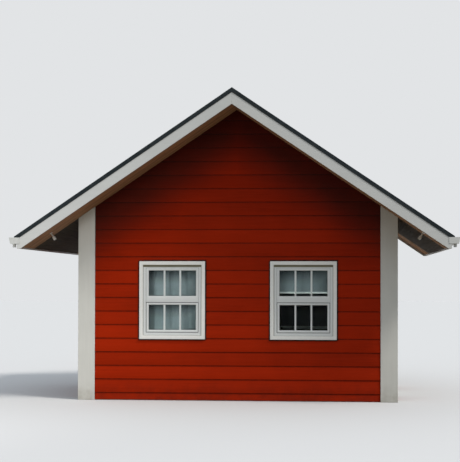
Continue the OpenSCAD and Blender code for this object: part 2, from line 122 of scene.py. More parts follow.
@dataclass
class Shape:
    """Closed forms as arrays: points, faces by number of corners, and marks for each point."""

    points: Array
    faces: list[Array]
    marks: dict[str, Array] = field(default_factory=dict)

    def outward(self) -> "Shape":
        """The shape with its faces turned round where its volume is negative.

        The volume is the sum over the faces' fans of a sixth of the corners' triple product.

        Returns:
            The shape itself.
        """
        volume = 0.0
        for corners in (self.points[face] for face in self.faces):
            volume += (np.cross(corners[:, 1:-1], corners[:, 2:]) * corners[:, :1]).sum() / 6
        if volume < 0:
            self.faces = [face[:, ::-1] for face in self.faces]
        return self

    def moved(self, place: Callable[[Array], Array]) -> "Shape":
        """The shape with its points carried by a function, and its faces outwards again."""
        return Shape(place(self.points), self.faces, self.marks).outward()

    def scaled(self, *factors: float) -> "Shape":
        """The shape stretched or mirrored by a factor on each axis."""
        return self.moved(lambda points: points * factors)

    def mirrored(self, *axes: int) -> "Shape":
        """The shape and its mirror image through each plane in turn, together.

        Args:
            axes: The axes that the planes are square to.

        Returns:
            The shape and its images as one.
        """
        both = self
        for axis in axes:
            both = joined([both, both.scaled(*(1 - 2 * np.eye(3)[axis]))])
        return both

    def marked(self, name: str, value: float | Array) -> "Shape":
        """The shape with one value a point, or the same value on all, under a name."""
        self.marks[name] = np.broadcast_to(np.asarray(value, float), (len(self.points),)).copy()
        return self

    def mesh(self, name: str) -> bpy.types.Mesh:
        """The shape as a Blender mesh, smooth except over edges of more than the smooth angle.

        Args:
            name: The mesh's name.

        Returns:
            The new mesh, with the marks as point attributes.
        """
        made = bpy.data.meshes.new(name)
        corners = np.concatenate([face.ravel() for face in self.faces])
        counts = np.concatenate([np.full(len(face), face.shape[1]) for face in self.faces])
        made.vertices.add(len(self.points))
        made.vertices.foreach_set("co", self.points.astype(np.float32).ravel())
        made.loops.add(len(corners))
        made.loops.foreach_set("vertex_index", corners.astype(np.int32))
        made.polygons.add(len(counts))
        made.polygons.foreach_set("loop_start", (np.cumsum(counts) - counts).astype(np.int32))
        made.update(calc_edges=True)
        made.validate()
        for mark, values in self.marks.items():
            attribute = made.attributes.new(mark, "FLOAT", "POINT")
            attribute.data.foreach_set("value", values.astype(np.float32))
        made.polygons.foreach_set("use_smooth", np.ones(len(made.polygons), bool))
        made.set_sharp_from_angle(angle=SMOOTH_ANGLE)
        return made


def joined(shapes: Sequence[Shape]) -> Shape:
    """Several shapes as one, where a mark that a shape lacks is zero on it.

    Args:
        shapes: The shapes.

    Returns:
        One shape with all their points, faces and marks.
    """
    starts = np.cumsum([0] + [len(shape.points) for shape in shapes])
    faces = [face + start for shape, start in zip(shapes, starts) for face in shape.faces]
    made = Shape(np.concatenate([shape.points for shape in shapes]), faces)
    for name in sorted({name for shape in shapes for name in shape.marks}):
        values = [shape.marks.get(name, np.zeros(len(shape.points))) for shape in shapes]
        made.marks[name] = np.concatenate(values)
    return made


def repeated(shape: Shape, offsets: Array) -> Shape:
    """Copies of a shape, one moved by each of (n, 3) offsets, as one shape."""
    return joined([Shape(shape.points + offset, shape.faces) for offset in offsets])


def spread(limits: object, axis: int) -> Array:
    """Shapes pairs of limits on an axis so that they spread over the corners of blocks.

    Args:
        limits: Low and high limits, one pair or (n, 2).
        axis: Their axis, from 0 for X to 2 for Z.

    Returns:
        The limits as (n, 1, 1, 2) for X, (n, 1, 2, 1) for Y or (n, 2, 1, 1) for Z.
    """
    shape = [-1, 1, 1, 1]
    shape[3 - axis] = 2
    return np.reshape(limits, shape)


def blocks(x: Array, y: Array, z: Array, tones: Array | None = None) -> Shape:
    """Six-sided blocks with free corners.

    Args:
        x: X of the corners, spread to (n, 2, 2, 2): low or high in Z, then in Y, then in X.
        y: Their Y, spread likewise.
        z: Their Z, spread likewise.
        tones: (n,) tone of each block, or None for none.

    Returns:
        The blocks as one shape.
    """
    points = np.stack(np.broadcast_arrays(x, y, z), -1).reshape(-1, 3)
    sides = np.array(
        [[0, 2, 3, 1], [4, 5, 7, 6], [0, 1, 5, 4], [2, 6, 7, 3], [0, 4, 6, 2], [1, 3, 7, 5]]
    )
    faces = (np.arange(len(points) // 8)[:, None, None] * 8 + sides).reshape(-1, 4)
    shape = Shape(points, [faces])
    return shape if tones is None else shape.marked("tone", np.repeat(tones, 8))


def box(x: Span, y: Span, z: Span) -> Shape:
    """An upright box between its limits on each axis."""
    return blocks(spread(x, 0), spread(y, 1), spread(z, 2))


def skinned(rings: Array, endless: bool = False) -> Shape:
    """Walls from each ring of points to the next.

    Args:
        rings: (n, k, 3) points of n rings.
        endless: Whether the last ring meets the first, in place of a flat cap on each.

    Returns:
        The closed form.
    """
    number = np.arange(rings.shape[0] * rings.shape[1]).reshape(rings.shape[:2])
    onward = np.roll(number, -1, 0)
    walls = np.stack([number, np.roll(number, -1, 1), np.roll(onward, -1, 1), onward], -1)
    caps = [] if endless else [number[:1, ::-1], number[-1:]]
    walls = walls if endless else walls[:-1]
    return Shape(rings.reshape(-1, 3), [walls.reshape(-1, 4), *caps]).outward()


def carried(outline: Array, path: Array, right: Array, up: Array) -> Shape:
    """An outline carried along a path: each point is path + across * right + height * up.

    Args:
        outline: (k, 2) closed outline, across and height.
        path: (n, 3) points that it passes.
        right: (3,) or (n, 3) direction of across.
        up: (3,) or (n, 3) direction of height.

    Returns:
        The closed form with a flat cap on each end.
    """
    right, up = (np.broadcast_to(way, path.shape)[:, None] for way in (right, up))
    return skinned(path[:, None] + outline[:, :1] * right + outline[:, 1:] * up)


def lathed(profile: Array, origin: Array, axis: Array, sides: int = 32) -> Shape:
    """A profile turned about an axis: origin + height * axis + radius * (cos u + sin v).

    Args:
        profile: (k, 2) radius and height, from one flat end to the other.
        origin: Point where the height is zero.
        axis: Direction of the height.
        sides: Number of sides round the axis.

    Returns:
        The closed form, with a flat cap on each end.
    """
    axis = axis / np.linalg.norm(axis)
    across = np.cross(Z_WAY if abs(axis[2]) < 0.9 else Y_WAY, axis)
    across /= np.linalg.norm(across)
    turn = np.linspace(0, 2 * np.pi, sides, endpoint=False)[:, None]
    outwards = np.cos(turn) * across + np.sin(turn) * np.cross(axis, across)
    radius, height = profile[:, 0, None, None], profile[:, 1, None, None]
    return skinned(origin + height * axis + radius * outwards)


def grid_slab(front: Array, back: Array, solid: Array, grime: Array) -> Shape:
    """A slab between two grids of points, with holes where cells aren't solid.

    Each solid cell gives a front and a back face, and each of its edges that borders on a hole
    or on the rim gives a wall between the two.

    Args:
        front: (u, v, 3) points of the front.
        back: (u, v, 3) points of the back.
        solid: (u - 1, v - 1) cells that are there.
        grime: (u, v) value of dirt and painted shade at each point of the front.

    Returns:
        The slab, closed all round, with a mark named grime.
    """
    count = grime.size
    number = np.arange(count).reshape(grime.shape)
    corner = [number[:-1, :-1], number[1:, :-1], number[1:, 1:], number[:-1, 1:]]
    cells = np.stack(corner, -1)[solid]
    faces = [cells, cells[:, ::-1] + count]
    padded = np.pad(solid, 1)
    beside = [padded[1:-1, :-2], padded[2:, 1:-1], padded[1:-1, 2:], padded[:-2, 1:-1]]
    for edge, neighbour in enumerate(beside):
        rim = solid & ~neighbour
        start, end = corner[edge][rim], corner[(edge + 1) % 4][rim]
        faces.append(np.stack([end, start, start + count, end + count], -1))
    faces = np.concatenate(faces)
    used, renumbered = np.unique(faces, return_inverse=True)
    points = np.concatenate([front.reshape(-1, 3), back.reshape(-1, 3)])[used]
    shape = Shape(points, [renumbered.reshape(faces.shape)]).outward()
    return shape.marked("grime", np.tile(grime.ravel(), 2)[used])


@dataclass(frozen=True)
class Rectangle:
    """An upright rectangle on a wall: along from left to right, up from low to high."""

    left: float
    right: float
    low: float
    high: float

    def grown(self, by: float) -> "Rectangle":
        """The rectangle with every edge moved out by the same distance."""
        return self.inset(-by, -by, -by)

    def inset(self, side: float, top: float, bottom: float) -> "Rectangle":
        """The rectangle inside a border of three widths."""
        return Rectangle(self.left + side, self.right - side, self.low + bottom, self.high - top)

    def distance(self, along: Array, up: Array) -> Array:
        """How far points on the wall lie outside the rectangle, and 0 inside it."""
        beside = np.maximum(np.maximum(self.left - along, along - self.right), 0)
        return np.hypot(beside, np.maximum(np.maximum(self.low - up, up - self.high), 0))


def bordered(rect: Rectangle, inner: Rectangle, section: Array, out: float) -> Shape:
    """A ring between two rectangles: a section carried round, mitred at the corners.

    Each point of the section lies a share of the way from the outer rectangle to the inner
    one, plus an offset towards the inner, and a depth behind the face.

    Args:
        rect: The outer rectangle.
        inner: The inner rectangle.
        section: (k, 3) share, offset and depth of the closed section's points.
        out: Distance of the ring's face from the hut's middle.

    Returns:
        The ring in wall terms: along, out and up.
    """
    share, offset, depth = np.transpose(section)
    left = rect.left + (inner.left - rect.left) * share + offset
    right = rect.right + (inner.right - rect.right) * share - offset
    low = rect.low + (inner.low - rect.low) * share + offset
    high = rect.high + (inner.high - rect.high) * share - offset
    ring = [(left, low), (right, low), (right, high), (left, high)]
    return skinned(np.stack([np.stack([x, out - depth, z], -1) for x, z in ring]), endless=True)


@dataclass(frozen=True)
class Roofline:
    """Planes of the roof: each layer lies a cover above the soffit's face, square to it."""

    apex: float
    pitch: float = 0.675

    @property
    def angle(self) -> float:
        """Slope of the roof in radians."""
        return math.atan(self.pitch)

    def height(self, x: Array | float, cover: Array | float) -> Array | float:
        """Height of a layer: apex - pitch * |x| + cover / cos(angle)."""
        return self.apex - self.pitch * np.abs(x) + cover / math.cos(self.angle)

    def down(self, along: Array, cover: Array | float) -> tuple[Array, Array]:
        """X and Z of points on the right slope, down it by along and square to it by cover."""
        sin, cos = math.sin(self.angle), math.cos(self.angle)
        return along * cos + cover * sin, self.apex - along * sin + cover * cos


@dataclass(frozen=True)
class Measures:
    """Main faces of the hut, read from the construction model."""

    half_w: float
    half_d: float
    corner_w: float
    core_x: float
    core_y: float
    room_y: float
    fascia_x: float
    fascia_in: float
    barge_y: float
    barge_in: float
    deck_y: float
    shingle_x: float
    roof: Roofline

    @classmethod
    def from_model(cls) -> "Measures":
        """Reads the boxes of the nodes that set each face.

        Returns:
            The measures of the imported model.
        """
        corner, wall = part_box("front_right_corner_board"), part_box("front_wall")
        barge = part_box("front_bargeboards")
        return cls(
            half_w=corner[1].x,
            half_d=-corner[0].y,
            corner_w=corner[1].x - corner[0].x,
            core_x=wall[1].x,
            core_y=-wall[0].y,
            room_y=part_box("floor_slab")[1].y,
            fascia_x=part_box("fascias")[1].x,
            fascia_in=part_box("right_soffit")[1].x,
            barge_y=-barge[0].y,
            barge_in=-barge[1].y,
            deck_y=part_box("right_roof_deck")[1].y,
            shingle_x=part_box("right_shingles")[1].x,
            roof=Roofline(apex=corner[1].z + Roofline.pitch * corner[0].x),
        )


class NodeSheet:
    """Adds and links nodes in one node tree."""

    def __init__(self, tree: bpy.types.NodeTree) -> None:
        """Keeps the tree that the nodes go into."""
        self.tree = tree

    @classmethod
    def of(cls, owner: bpy.types.ID) -> "NodeSheet":
        """An empty sheet for the nodes of a material or a world.

        Args:
            owner: The material or world.

        Returns:
            Its sheet.
        """
        owner.use_nodes = True
        owner.node_tree.nodes.clear()
        return cls(owner.node_tree)

    def feed(self, socket: Socket, value: object) -> None:
        """Links a socket to another socket, or sets its value.

        Args:
            socket: The socket.
            value: A socket to link, or a value.
        """
        if isinstance(value, Socket):
            self.tree.links.new(value, socket)
        else:
            socket.default_value = value

    def add(self, kind: str, inputs: dict | None = None, **settings: object) -> bpy.types.Node:
        """Adds a node.

        Args:
            kind: The node's type, without the leading ShaderNode.
            inputs: Values or sockets, by the input's name or number.
            settings: Properties of the node itself.

        Returns:
            The new node.
        """
        node = self.tree.nodes.new("ShaderNode" + kind)
        for name, value in settings.items():
            setattr(node, name, value)
        for name, value in (inputs or {}).items():
            self.feed(node.inputs[name], value)
        return node

    def place(self) -> Socket:
        """Place in the piece's own coordinates, which are the hut's."""
        return self.add("TexCoord").outputs["Object"]

    def mark(self, name: str) -> Socket:
        """Value of one of the piece's point attributes."""
        return self.add("Attribute", attribute_name=name).outputs["Fac"]

    def mix(self, share: object, first: object, second: object) -> Socket:
        """Colour between two, by a share from 0 to 1."""
        return self.add("Mix", {0: share, 6: first, 7: second}, data_type="RGBA").outputs[2]

    def maths(self, how: str, first: object, second: object = 0.0) -> Socket:
        """Result of one sum on two values."""
        return self.add("Math", {0: first, 1: second}, operation=how).outputs[0]

    def times(self, first: object, second: object) -> Socket:
        """Product of two values."""
        return self.maths("MULTIPLY", first, second)

    def blend(self, first: Socket, second: Socket, parts: Span) -> Socket:
        """Sum of two values, each times its part."""
        return self.maths("ADD", self.times(first, parts[0]), self.times(second, parts[1]))

    def span(self, value: object, old: Span, new: Span, how: str = "LINEAR") -> Socket:
        """Value carried from one span to another, held at its ends."""
        inputs = {0: value, 1: old[0], 2: old[1], 3: new[0], 4: new[1]}
        return self.add("MapRange", inputs, clamp=True, interpolation_type=how).outputs[0]

    def noise(self, scale: object, detail: float = 3.0, vector: object = None) -> Socket:
        """Noise from 0 to 1, round 0.5, of the place or of a given vector."""
        inputs = {"Vector": vector or self.place(), "Scale": scale, "Detail": detail}
        return self.add("TexNoise", inputs).outputs[0]

    def effect(self, tree: bpy.types.NodeTree, **inputs: object) -> Socket:
        """Places a shared effect with its own values and gives its output."""
        return self.add("Group", inputs, node_tree=tree).outputs[0]


def effect_group(made: str, **given: object) -> Callable:
    """Makes a function that draws an effect one that builds its node group once.

    Args:
        made: Name of the group's output: Colour for a colour, and otherwise a number's name.
        given: First value of each input, by name: a number, a vector of three or a colour of four.

    Returns:
        The decorator. It hands the group's sheet and its input sockets to the drawing function.
    """

    def decorate(draw: Callable[..., Socket]) -> Callable[[], bpy.types.NodeTree]:
        """Gives the function that builds the group and keeps it.

        Args:
            draw: Draws the effect on a sheet.

        Returns:
            The function that takes its place.
        """

        @lru_cache(maxsize=None)
        def build() -> bpy.types.NodeTree:
            """Builds the group's sockets and draws the effect between them.

            Returns:
                The group.
            """
            tree = bpy.data.node_groups.new(draw.__name__, "ShaderNodeTree")
            kinds = {0: "NodeSocketFloat", 3: "NodeSocketVector", 4: "NodeSocketColor"}
            for name, value in given.items():
                kind = kinds[np.size(value) if np.ndim(value) else 0]
                tree.interface.new_socket(name, in_out="INPUT", socket_type=kind).default_value = value
            kind = kinds[4 if made == "Colour" else 0]
            tree.interface.new_socket(made, in_out="OUTPUT", socket_type=kind)
            source, target = tree.nodes.new("NodeGroupInput"), tree.nodes.new("NodeGroupOutput")
            sheet = NodeSheet(tree)
            sheet.feed(target.inputs[made], draw(sheet, *(source.outputs[name] for name in given)))
            return tree

        return build

    return decorate


@effect_group("Value", Stretch=(1.0, 1.0, 1.0))
def drawn_grain(sheet: NodeSheet, stretch: Socket) -> Socket:
    """Streaks: noise of the place times a stretch on each axis, fine along the low ones."""
    drawn = sheet.add("Mapping", {"Vector": sheet.place(), "Scale": stretch})
    return sheet.noise(1.0, 5.0, drawn.outputs[0])


@effect_group("Colour", Colour=(1.0, 1.0, 1.0, 1.0), Spread=0.1)
def board_tone(sheet: NodeSheet, colour: Socket, breadth: Socket) -> Socket:
    """Colour of one board among its like: times 1 + (its tone mark - 0.5) * spread.

    Args:
        sheet: The group's nodes.
        colour: The finish's colour.
        breadth: The spread.

    Returns:
        The board's colour.
    """
    shift = sheet.times(sheet.maths("SUBTRACT", sheet.mark("tone"), 0.5), breadth)
    level = sheet.maths("ADD", shift, 1.0)
    return sheet.add("HueSaturation", {"Value": level, "Color": colour}).outputs[0]


@effect_group("Mask", Height=0.4)
def ground_splash(sheet: NodeSheet, height: Socket) -> Socket:
    """Mask of the dirt that rain throws up: 1 at the ground, 0 at a height, broken by noise.

    Args:
        sheet: The group's nodes.
        height: How high the dirt reaches.

    Returns:
        The mask.
    """
    up = sheet.add("SeparateXYZ", {0: sheet.place()}).outputs["Z"]
    near = sheet.maths("SUBTRACT", 1.0, sheet.maths("DIVIDE", up, height))
    return sheet.span(sheet.times(near, sheet.span(sheet.noise(9.0, 6.0), MIDDLE, (0.2, 1.3))), UNIT, UNIT)


@effect_group("Mask", Scale=2.0)
def soft_blotches(sheet: NodeSheet, scale: Socket) -> Socket:
    """Mask of uneven fading: large noise, with its middle drawn out to the full span."""
    return sheet.span(sheet.noise(scale, 4.0), (0.35, 0.65), UNIT)


@effect_group("Mask")
def held_dirt_and_shade(sheet: NodeSheet) -> Socket:
    """Mask of dirt and painted shade at laps and round openings: the grime mark, broken by fine noise."""
    return sheet.times(sheet.mark("grime"), sheet.span(sheet.noise(25.0, 4.0), (0.35, 0.6), (0.55, 1.0)))


@effect_group("Mask", Depth=1.0)
def painted_roof_shade(sheet: NodeSheet, depth: Socket) -> Socket:
    """Mask of painted shade under the roof's overhang: 1 close under the roof, softly 0 from a depth below
    it.

    The height under the roof is apex - pitch * |x| - z.

    Args:
        sheet: The group's nodes.
        depth: How far down the painted shade reaches.

    Returns:
        The mask.
    """
    roof = Measures.from_model().roof
    place = sheet.add("SeparateXYZ", {0: sheet.place()}).outputs
    fall = sheet.times(sheet.maths("ABSOLUTE", place["X"]), roof.pitch)
    under = sheet.maths("SUBTRACT", sheet.maths("SUBTRACT", roof.apex, fall), place["Z"])
    soft = sheet.span(sheet.maths("DIVIDE", under, depth), (0.15, 1.0), (1.0, 0.0), "SMOOTHSTEP")
    return sheet.times(soft, sheet.span(sheet.noise(3.0), MIDDLE, (0.9, 1.0)))


@dataclass
class Look:
    """What varies over a surface: its colour, its roughness, and a height times a depth."""

    colour: Socket
    rough: Socket
    height: Socket | None = None
    depth: float = 0.0


@dataclass(frozen=True)
class Finish:
    """A surface finish: uniform values on the shader, and a look that varies over it."""

    name: str
    roughness: float = 0.5
    specular: float = 0.5
    metallic: float = 0.0
    rough_drift: Span = (0.0, 0.0)

    @lru_cache(maxsize=None)
    def material(self) -> bpy.types.Material:
        """Builds the material once and returns it after that.

        Returns:
            The material of this finish.
        """
        made = bpy.data.materials.new(self.name)
        sheet = NodeSheet.of(made)
        even = {
            "Roughness": self.roughness, "Specular IOR Level": self.specular, "Metallic": self.metallic,
        }
        shader, look = sheet.add("BsdfPrincipled", even), self.look(sheet)
        sheet.feed(shader.inputs["Base Color"], look.colour)
        sheet.feed(shader.inputs["Roughness"], look.rough)
        if look.height is not None:
            raised = sheet.add("Bump", {"Height": look.height, "Distance": look.depth, "Strength": 1.0})
            sheet.feed(shader.inputs["Normal"], raised.outputs[0])
        self.surface(sheet, shader)
        return made

    def look(self, sheet: NodeSheet) -> Look:
        """Draws what varies over the surface."""
        raise NotImplementedError

    def drifting(self, sheet: NodeSheet, grain: Socket) -> Socket:
        """Roughness that follows a grain from below the finish's own to above it."""
        return sheet.span(grain, MIDDLE, tuple(self.roughness + drift for drift in self.rough_drift))

    def surface(self, sheet: NodeSheet, shader: bpy.types.Node) -> None:
        """Links the shader to the material's output."""
        sheet.add("OutputMaterial", {"Surface": shader.outputs[0]})


@dataclass(frozen=True)
class Paint(Finish):
    """Brushed or moulded paint: faint drawn streaks, fading, dirt and painted shade held at laps and joints,
    painted shade under the roof, and ground splash.
    """

    colour: Colour = srgb(200, 200, 196)
    # dirt is also the colour of the painted shade that the held and roof_shade layers lay.
    dirt: Colour = srgb(128, 118, 100)
    stretch: Triple = (20.0, 20.0, 20.0)
    streak: float = 0.03
    fade: float = 0.02
    fade_size: float = 1.6
    wear_part: float = 0.5
    spread: float = 0.06
    # held lays dirt and painted shade where the siding's grime mark is set: under its laps and round its
    # openings.
    held: float = 0.5
    splash: float = 0.0
    splash_height: float = 0.35
    # Strength and reach of the painted shade under the roof, laid in the dirt colour.
    roof_shade: float = 0.0
    roof_shade_depth: float = 1.1
    relief: float = 0.0004
    rough_drift: Span = (-0.06, 0.08)

    def look(self, sheet: NodeSheet) -> Look:
        """Layers the streaks, the fading, the board's tone and the dirt over the paint.

        Args:
            sheet: The material's nodes.

        Returns:
            What varies over the surface.
        """
        grain = sheet.effect(drawn_grain(), Stretch=self.stretch)
        worn = sheet.effect(soft_blotches(), Scale=self.fade_size)
        darker = scaled_colour(self.colour, 1 - 4 * self.streak)
        paler = scaled_colour(self.colour, 1 + 4 * self.fade)
        colour = sheet.mix(sheet.times(sheet.span(grain, MIDDLE, UNIT), self.wear_part), self.colour, darker)
        colour = sheet.mix(sheet.times(worn, self.wear_part), colour, paler)
        colour = sheet.effect(board_tone(), Colour=colour, Spread=self.spread)
        # The held layer is dirt and painted shade at the siding's laps and openings.
        layers = [(self.held, held_dirt_and_shade, {}), (self.splash, ground_splash, {"Height": self.splash_height})]
        # The roof layer paints shade under the overhang, darker towards the roof.
        if self.roof_shade:
            layers.append((self.roof_shade, painted_roof_shade, {"Depth": self.roof_shade_depth}))
        for amount, effect, given in layers:
            mask = sheet.effect(effect(), **given)
            colour = sheet.mix(sheet.times(mask, amount), colour, self.dirt)
        return Look(colour, self.drifting(sheet, grain), grain, self.relief)


@dataclass(frozen=True)
class Wood(Finish):
    """Sawn or stained wood: growth rings drawn out along the grain, tone by board."""

    pale: Colour = srgb(150, 110, 70)
    dark: Colour = srgb(90, 60, 38)
    stretch: Triple = (24.0, 1.2, 24.0)
    fineness: float = 3.5
    rings: float = 6.0
    ring_parts: Span = (0.45, 0.7)
    spread: float = 0.35
    relief: float = 0.0008
    rough_drift: Span = (-0.08, 0.1)

    def look(self, sheet: NodeSheet) -> Look:
        """Lays fine grain over broad figure and gives each board its tone.

        Args:
            sheet: The material's nodes.

        Returns:
            What varies over the surface.
        """
        broad = sheet.effect(drawn_grain(), Stretch=self.stretch)
        fine = sheet.effect(drawn_grain(), Stretch=tuple(self.fineness * part for part in self.stretch))
        rings = sheet.maths("PINGPONG", sheet.times(broad, self.rings), 1.0)
        share = sheet.span(sheet.blend(rings, fine, self.ring_parts), (0.2, 0.9), UNIT)
        colour = sheet.mix(share, self.dark, self.pale)
        colour = sheet.effect(board_tone(), Colour=colour, Spread=self.spread)
        return Look(colour, self.drifting(sheet, fine), share, self.relief)


@dataclass(frozen=True)
class Granules(Finish):
    """Mineral granules on felt: grains of two colours, tone by tab, paler streaks of wash."""

    dark: Colour = srgb(38, 43, 46)
    pale: Colour = srgb(84, 90, 92)
    grain_scale: float = 260.0
    patch_scale: float = 5.0
    speck_parts: Span = (0.55, 0.25)
    spread: float = 0.5
    rough_range: Span = (0.8, 0.95)
    relief: float = 0.0012

    def look(self, sheet: NodeSheet) -> Look:
        """Speckles the felt and raises its granules.

        Args:
            sheet: The material's nodes.

        Returns:
            What varies over the surface.
        """
        cells = sheet.add("TexVoronoi", {"Vector": sheet.place(), "Scale": self.grain_scale}).outputs
        speck = sheet.span(cells["Color"], (0.1, 0.9), UNIT)
        patchy = sheet.effect(soft_blotches(), Scale=self.patch_scale)
        colour = sheet.mix(sheet.blend(speck, patchy, self.speck_parts), self.dark, self.pale)
        colour = sheet.effect(board_tone(), Colour=colour, Spread=self.spread)
        return Look(colour, sheet.span(speck, UNIT, self.rough_range), cells["Distance"], self.relief)


@dataclass(frozen=True)
class Concrete(Finish):
    """Floated concrete: blotches and fine sand."""

    dark: Colour = srgb(108, 105, 99)
    pale: Colour = srgb(160, 156, 148)
    sand_scale: float = 180.0
    blotch_scale: float = 3.0
    blotch_parts: Span = (0.6, 0.4)
    rough_range: Span = (0.75, 0.95)
    relief: float = 0.0006

    def look(self, sheet: NodeSheet) -> Look:
        """Mixes blotches with sand and raises the sand.

        Args:
            sheet: The material's nodes.

        Returns:
            What varies over the surface.
        """
        sand = sheet.noise(self.sand_scale, 2.0)
        blotch = sheet.effect(soft_blotches(), Scale=self.blotch_scale)
        colour = sheet.mix(sheet.blend(blotch, sand, self.blotch_parts), self.dark, self.pale)
        return Look(colour, sheet.span(sand, (0.2, 0.8), self.rough_range), sand, self.relief)


@dataclass(frozen=True)
class Metal(Finish):
    """Coated or brushed metal: drawn lines, dull patches and a little dust."""

    colour: Colour = srgb(40, 46, 50)
    dust: Colour = srgb(92, 94, 92)
    stretch: Triple = (8.0, 8.0, 8.0)
    patch_scale: float = 7.0
    dustiness: float = 0.6
    relief: float = 0.0001
    rough_drift: Span = (-0.08, 0.12)

    def look(self, sheet: NodeSheet) -> Look:
        """Dulls the metal in patches and draws fine lines into it.

        Args:
            sheet: The material's nodes.

        Returns:
            What varies over the surface.
        """
        patch = sheet.effect(soft_blotches(), Scale=self.patch_scale)
        line = sheet.effect(drawn_grain(), Stretch=self.stretch)
        share = sheet.times(sheet.times(patch, line), self.dustiness)
        colour = sheet.mix(share, self.colour, self.dust)
        return Look(colour, self.drifting(sheet, line), line, self.relief)


@dataclass(frozen=True)
class Cloth(Finish):
    """Woven blind cloth: two crossing sets of threads on the cloth's own map, with painted shade from the
    window.
    """

    colour: Colour = srgb(148, 155, 159)
    shade: Colour = srgb(122, 130, 135)
    # Colour of the cloth in full painted shade.
    shaded_cloth: Colour = srgb(60, 65, 67)
    threads: float = 900.0
    slubs: Triple = (6.0, 160.0, 1.0)
    weave_parts: Span = (0.3, 0.7)
    rough_range: Span = (0.8, 0.95)
    relief: float = 0.0002

    def look(self, sheet: NodeSheet) -> Look:
        """Crosses warp and weft, with slubs along the weft, and darkens it by the kept mark as painted
        shade.

        Args:
            sheet: The material's nodes.

        Returns:
            What varies over the surface.
        """
        flat = sheet.add("UVMap", uv_map="cloth").outputs[0]
        across = sheet.add("SeparateXYZ", {0: flat}).outputs
        turns = self.threads * 2 * math.pi
        warp, weft = (sheet.maths("SINE", sheet.times(across[axis], turns)) for axis in "XY")
        weave = sheet.span(sheet.times(warp, weft), (-1.0, 1.0), UNIT)
        slub = sheet.noise(1.0, 3.0, sheet.add("Mapping", {"Vector": flat, "Scale": self.slubs}).outputs[0])
        colour = sheet.mix(sheet.blend(weave, slub, self.weave_parts), self.shade, self.colour)
        # The kept mark paints the shade of the window's head, meeting rail and right edge on the cloth.
        colour = sheet.mix(sheet.mark("kept"), colour, self.shaded_cloth)
        return Look(colour, sheet.span(slub, MIDDLE, self.rough_range), weave, self.relief)


@dataclass(frozen=True)
class Glazing(Finish):
    """Window glass: clear, with a film of dust, and open to the light that falls through it."""

    tint: Colour = srgb(236, 243, 241)
    film: Colour = srgb(222, 232, 230)
    film_scale: float = 3.5
    haze: float = 0.03
    bending: float = 1.12

    def look(self, sheet: NodeSheet) -> Look:
        """Clouds the pane a little where rain has dried on it."""
        film = sheet.effect(soft_blotches(), Scale=self.film_scale)
        return Look(sheet.mix(film, self.tint, self.film), sheet.span(film, UNIT, (0.0, self.haze)))

    def surface(self, sheet: NodeSheet, shader: bpy.types.Node) -> None:
        """Clears the pane, and lets lamps shine through it instead of casting its shadow.

        Args:
            sheet: The material's nodes.
            shader: The shader of the glass.
        """
        shader.inputs["Transmission Weight"].default_value = 1.0
        shader.inputs["IOR"].default_value = self.bending
        clear = sheet.add("BsdfTransparent", {"Color": self.tint})
        shadow = sheet.add("LightPath").outputs["Is Shadow Ray"]
        both = sheet.add("MixShader", {0: shadow, 1: shader.outputs[0], 2: clear.outputs[0]})
        sheet.add("OutputMaterial", {"Surface": both.outputs[0]})


# The siding's roof_shade paints shade under the overhang, and its held layer paints shade with some dirt
# under the laps and round the openings, both in its dark dirt colour.
SIDING_X = Paint(
    "red_siding_paint", roughness=0.62, specular=0.06, colour=srgb(143, 31, 3), dirt=srgb(31, 21, 18),
    stretch=(2.0, 30.0, 55.0), streak=0.07, fade=0.05, spread=0.2, held=0.8, splash=0.3, roof_shade=0.82,
    relief=0.0007,
)
SIDING_Y = replace(SIDING_X, name="red_siding_paint_sides", stretch=(30.0, 2.0, 55.0))
# TRIM and its level copy are one white paint. TRIM is warmer and darker as painted shade, and the level copy
# for bargeboards and fascias is paler as painted light, with its grain along the boards.
TRIM = Paint(
    "white_trim_paint", specular=0.3, colour=srgb(195, 194, 187), stretch=(28.0, 28.0, 2.0), spread=0.08,
    splash=0.4, splash_height=0.3,
)
TRIM_LEVEL_LIT = replace(
    TRIM, name="white_trim_paint_level_lit", colour=srgb(201, 202, 199), stretch=(2.0, 2.0, 28.0), splash=0.0
)
CASING_PAINT = Paint("white_casing_paint", specular=0.3, colour=srgb(224, 223, 218), spread=0.05)
WINDOW_WHITE = Paint(
    "white_window_frames", roughness=0.38, specular=0.4, colour=srgb(203, 205, 203),
    dirt=srgb(120, 116, 104), stretch=(6.0, 6.0, 6.0), streak=0.01, spread=0.0, held=0.6, relief=0.0001,
)
GUTTER_WHITE = replace(
    WINDOW_WHITE, name="white_gutter_coating", roughness=0.4, colour=srgb(196, 197, 193),
    dirt=srgb(96, 92, 80), stretch=(30.0, 1.5, 12.0), streak=0.05, fade=0.04, held=0.5,
)
BLIND_BAR = replace(
    WINDOW_WHITE, name="white_blind_bars", roughness=0.4, specular=0.5, colour=srgb(246, 246, 243),
    dirt=srgb(170, 166, 156), fade=0.01, held=0.5,
)
LAMP_WHITE = Paint(
    "white_lamp_enamel", roughness=0.35, colour=srgb(214, 213, 206), dirt=srgb(112, 104, 90), streak=0.02,
    relief=0.0001,
)
DOOR_PAINT = Paint(
    "white_door_paint", roughness=0.42, specular=0.4, colour=srgb(202, 203, 200), dirt=srgb(126, 118, 102),
    stretch=(30.0, 24.0, 1.6), splash=0.4,
)
LINING = Paint(
    "inside_wall_lining", roughness=0.8, specular=0.2, colour=srgb(104, 98, 88), dirt=srgb(60, 56, 50),
    stretch=(14.0, 14.0, 1.5), streak=0.04, fade=0.04, splash=0.3,
)
SOFFIT_SLOPE = Wood(
    "stained_verge_boards", roughness=0.7, specular=0.08, pale=srgb(188, 146, 110), dark=srgb(134, 102, 76),
    stretch=(1.2, 24.0, 3.0), spread=0.25,
)
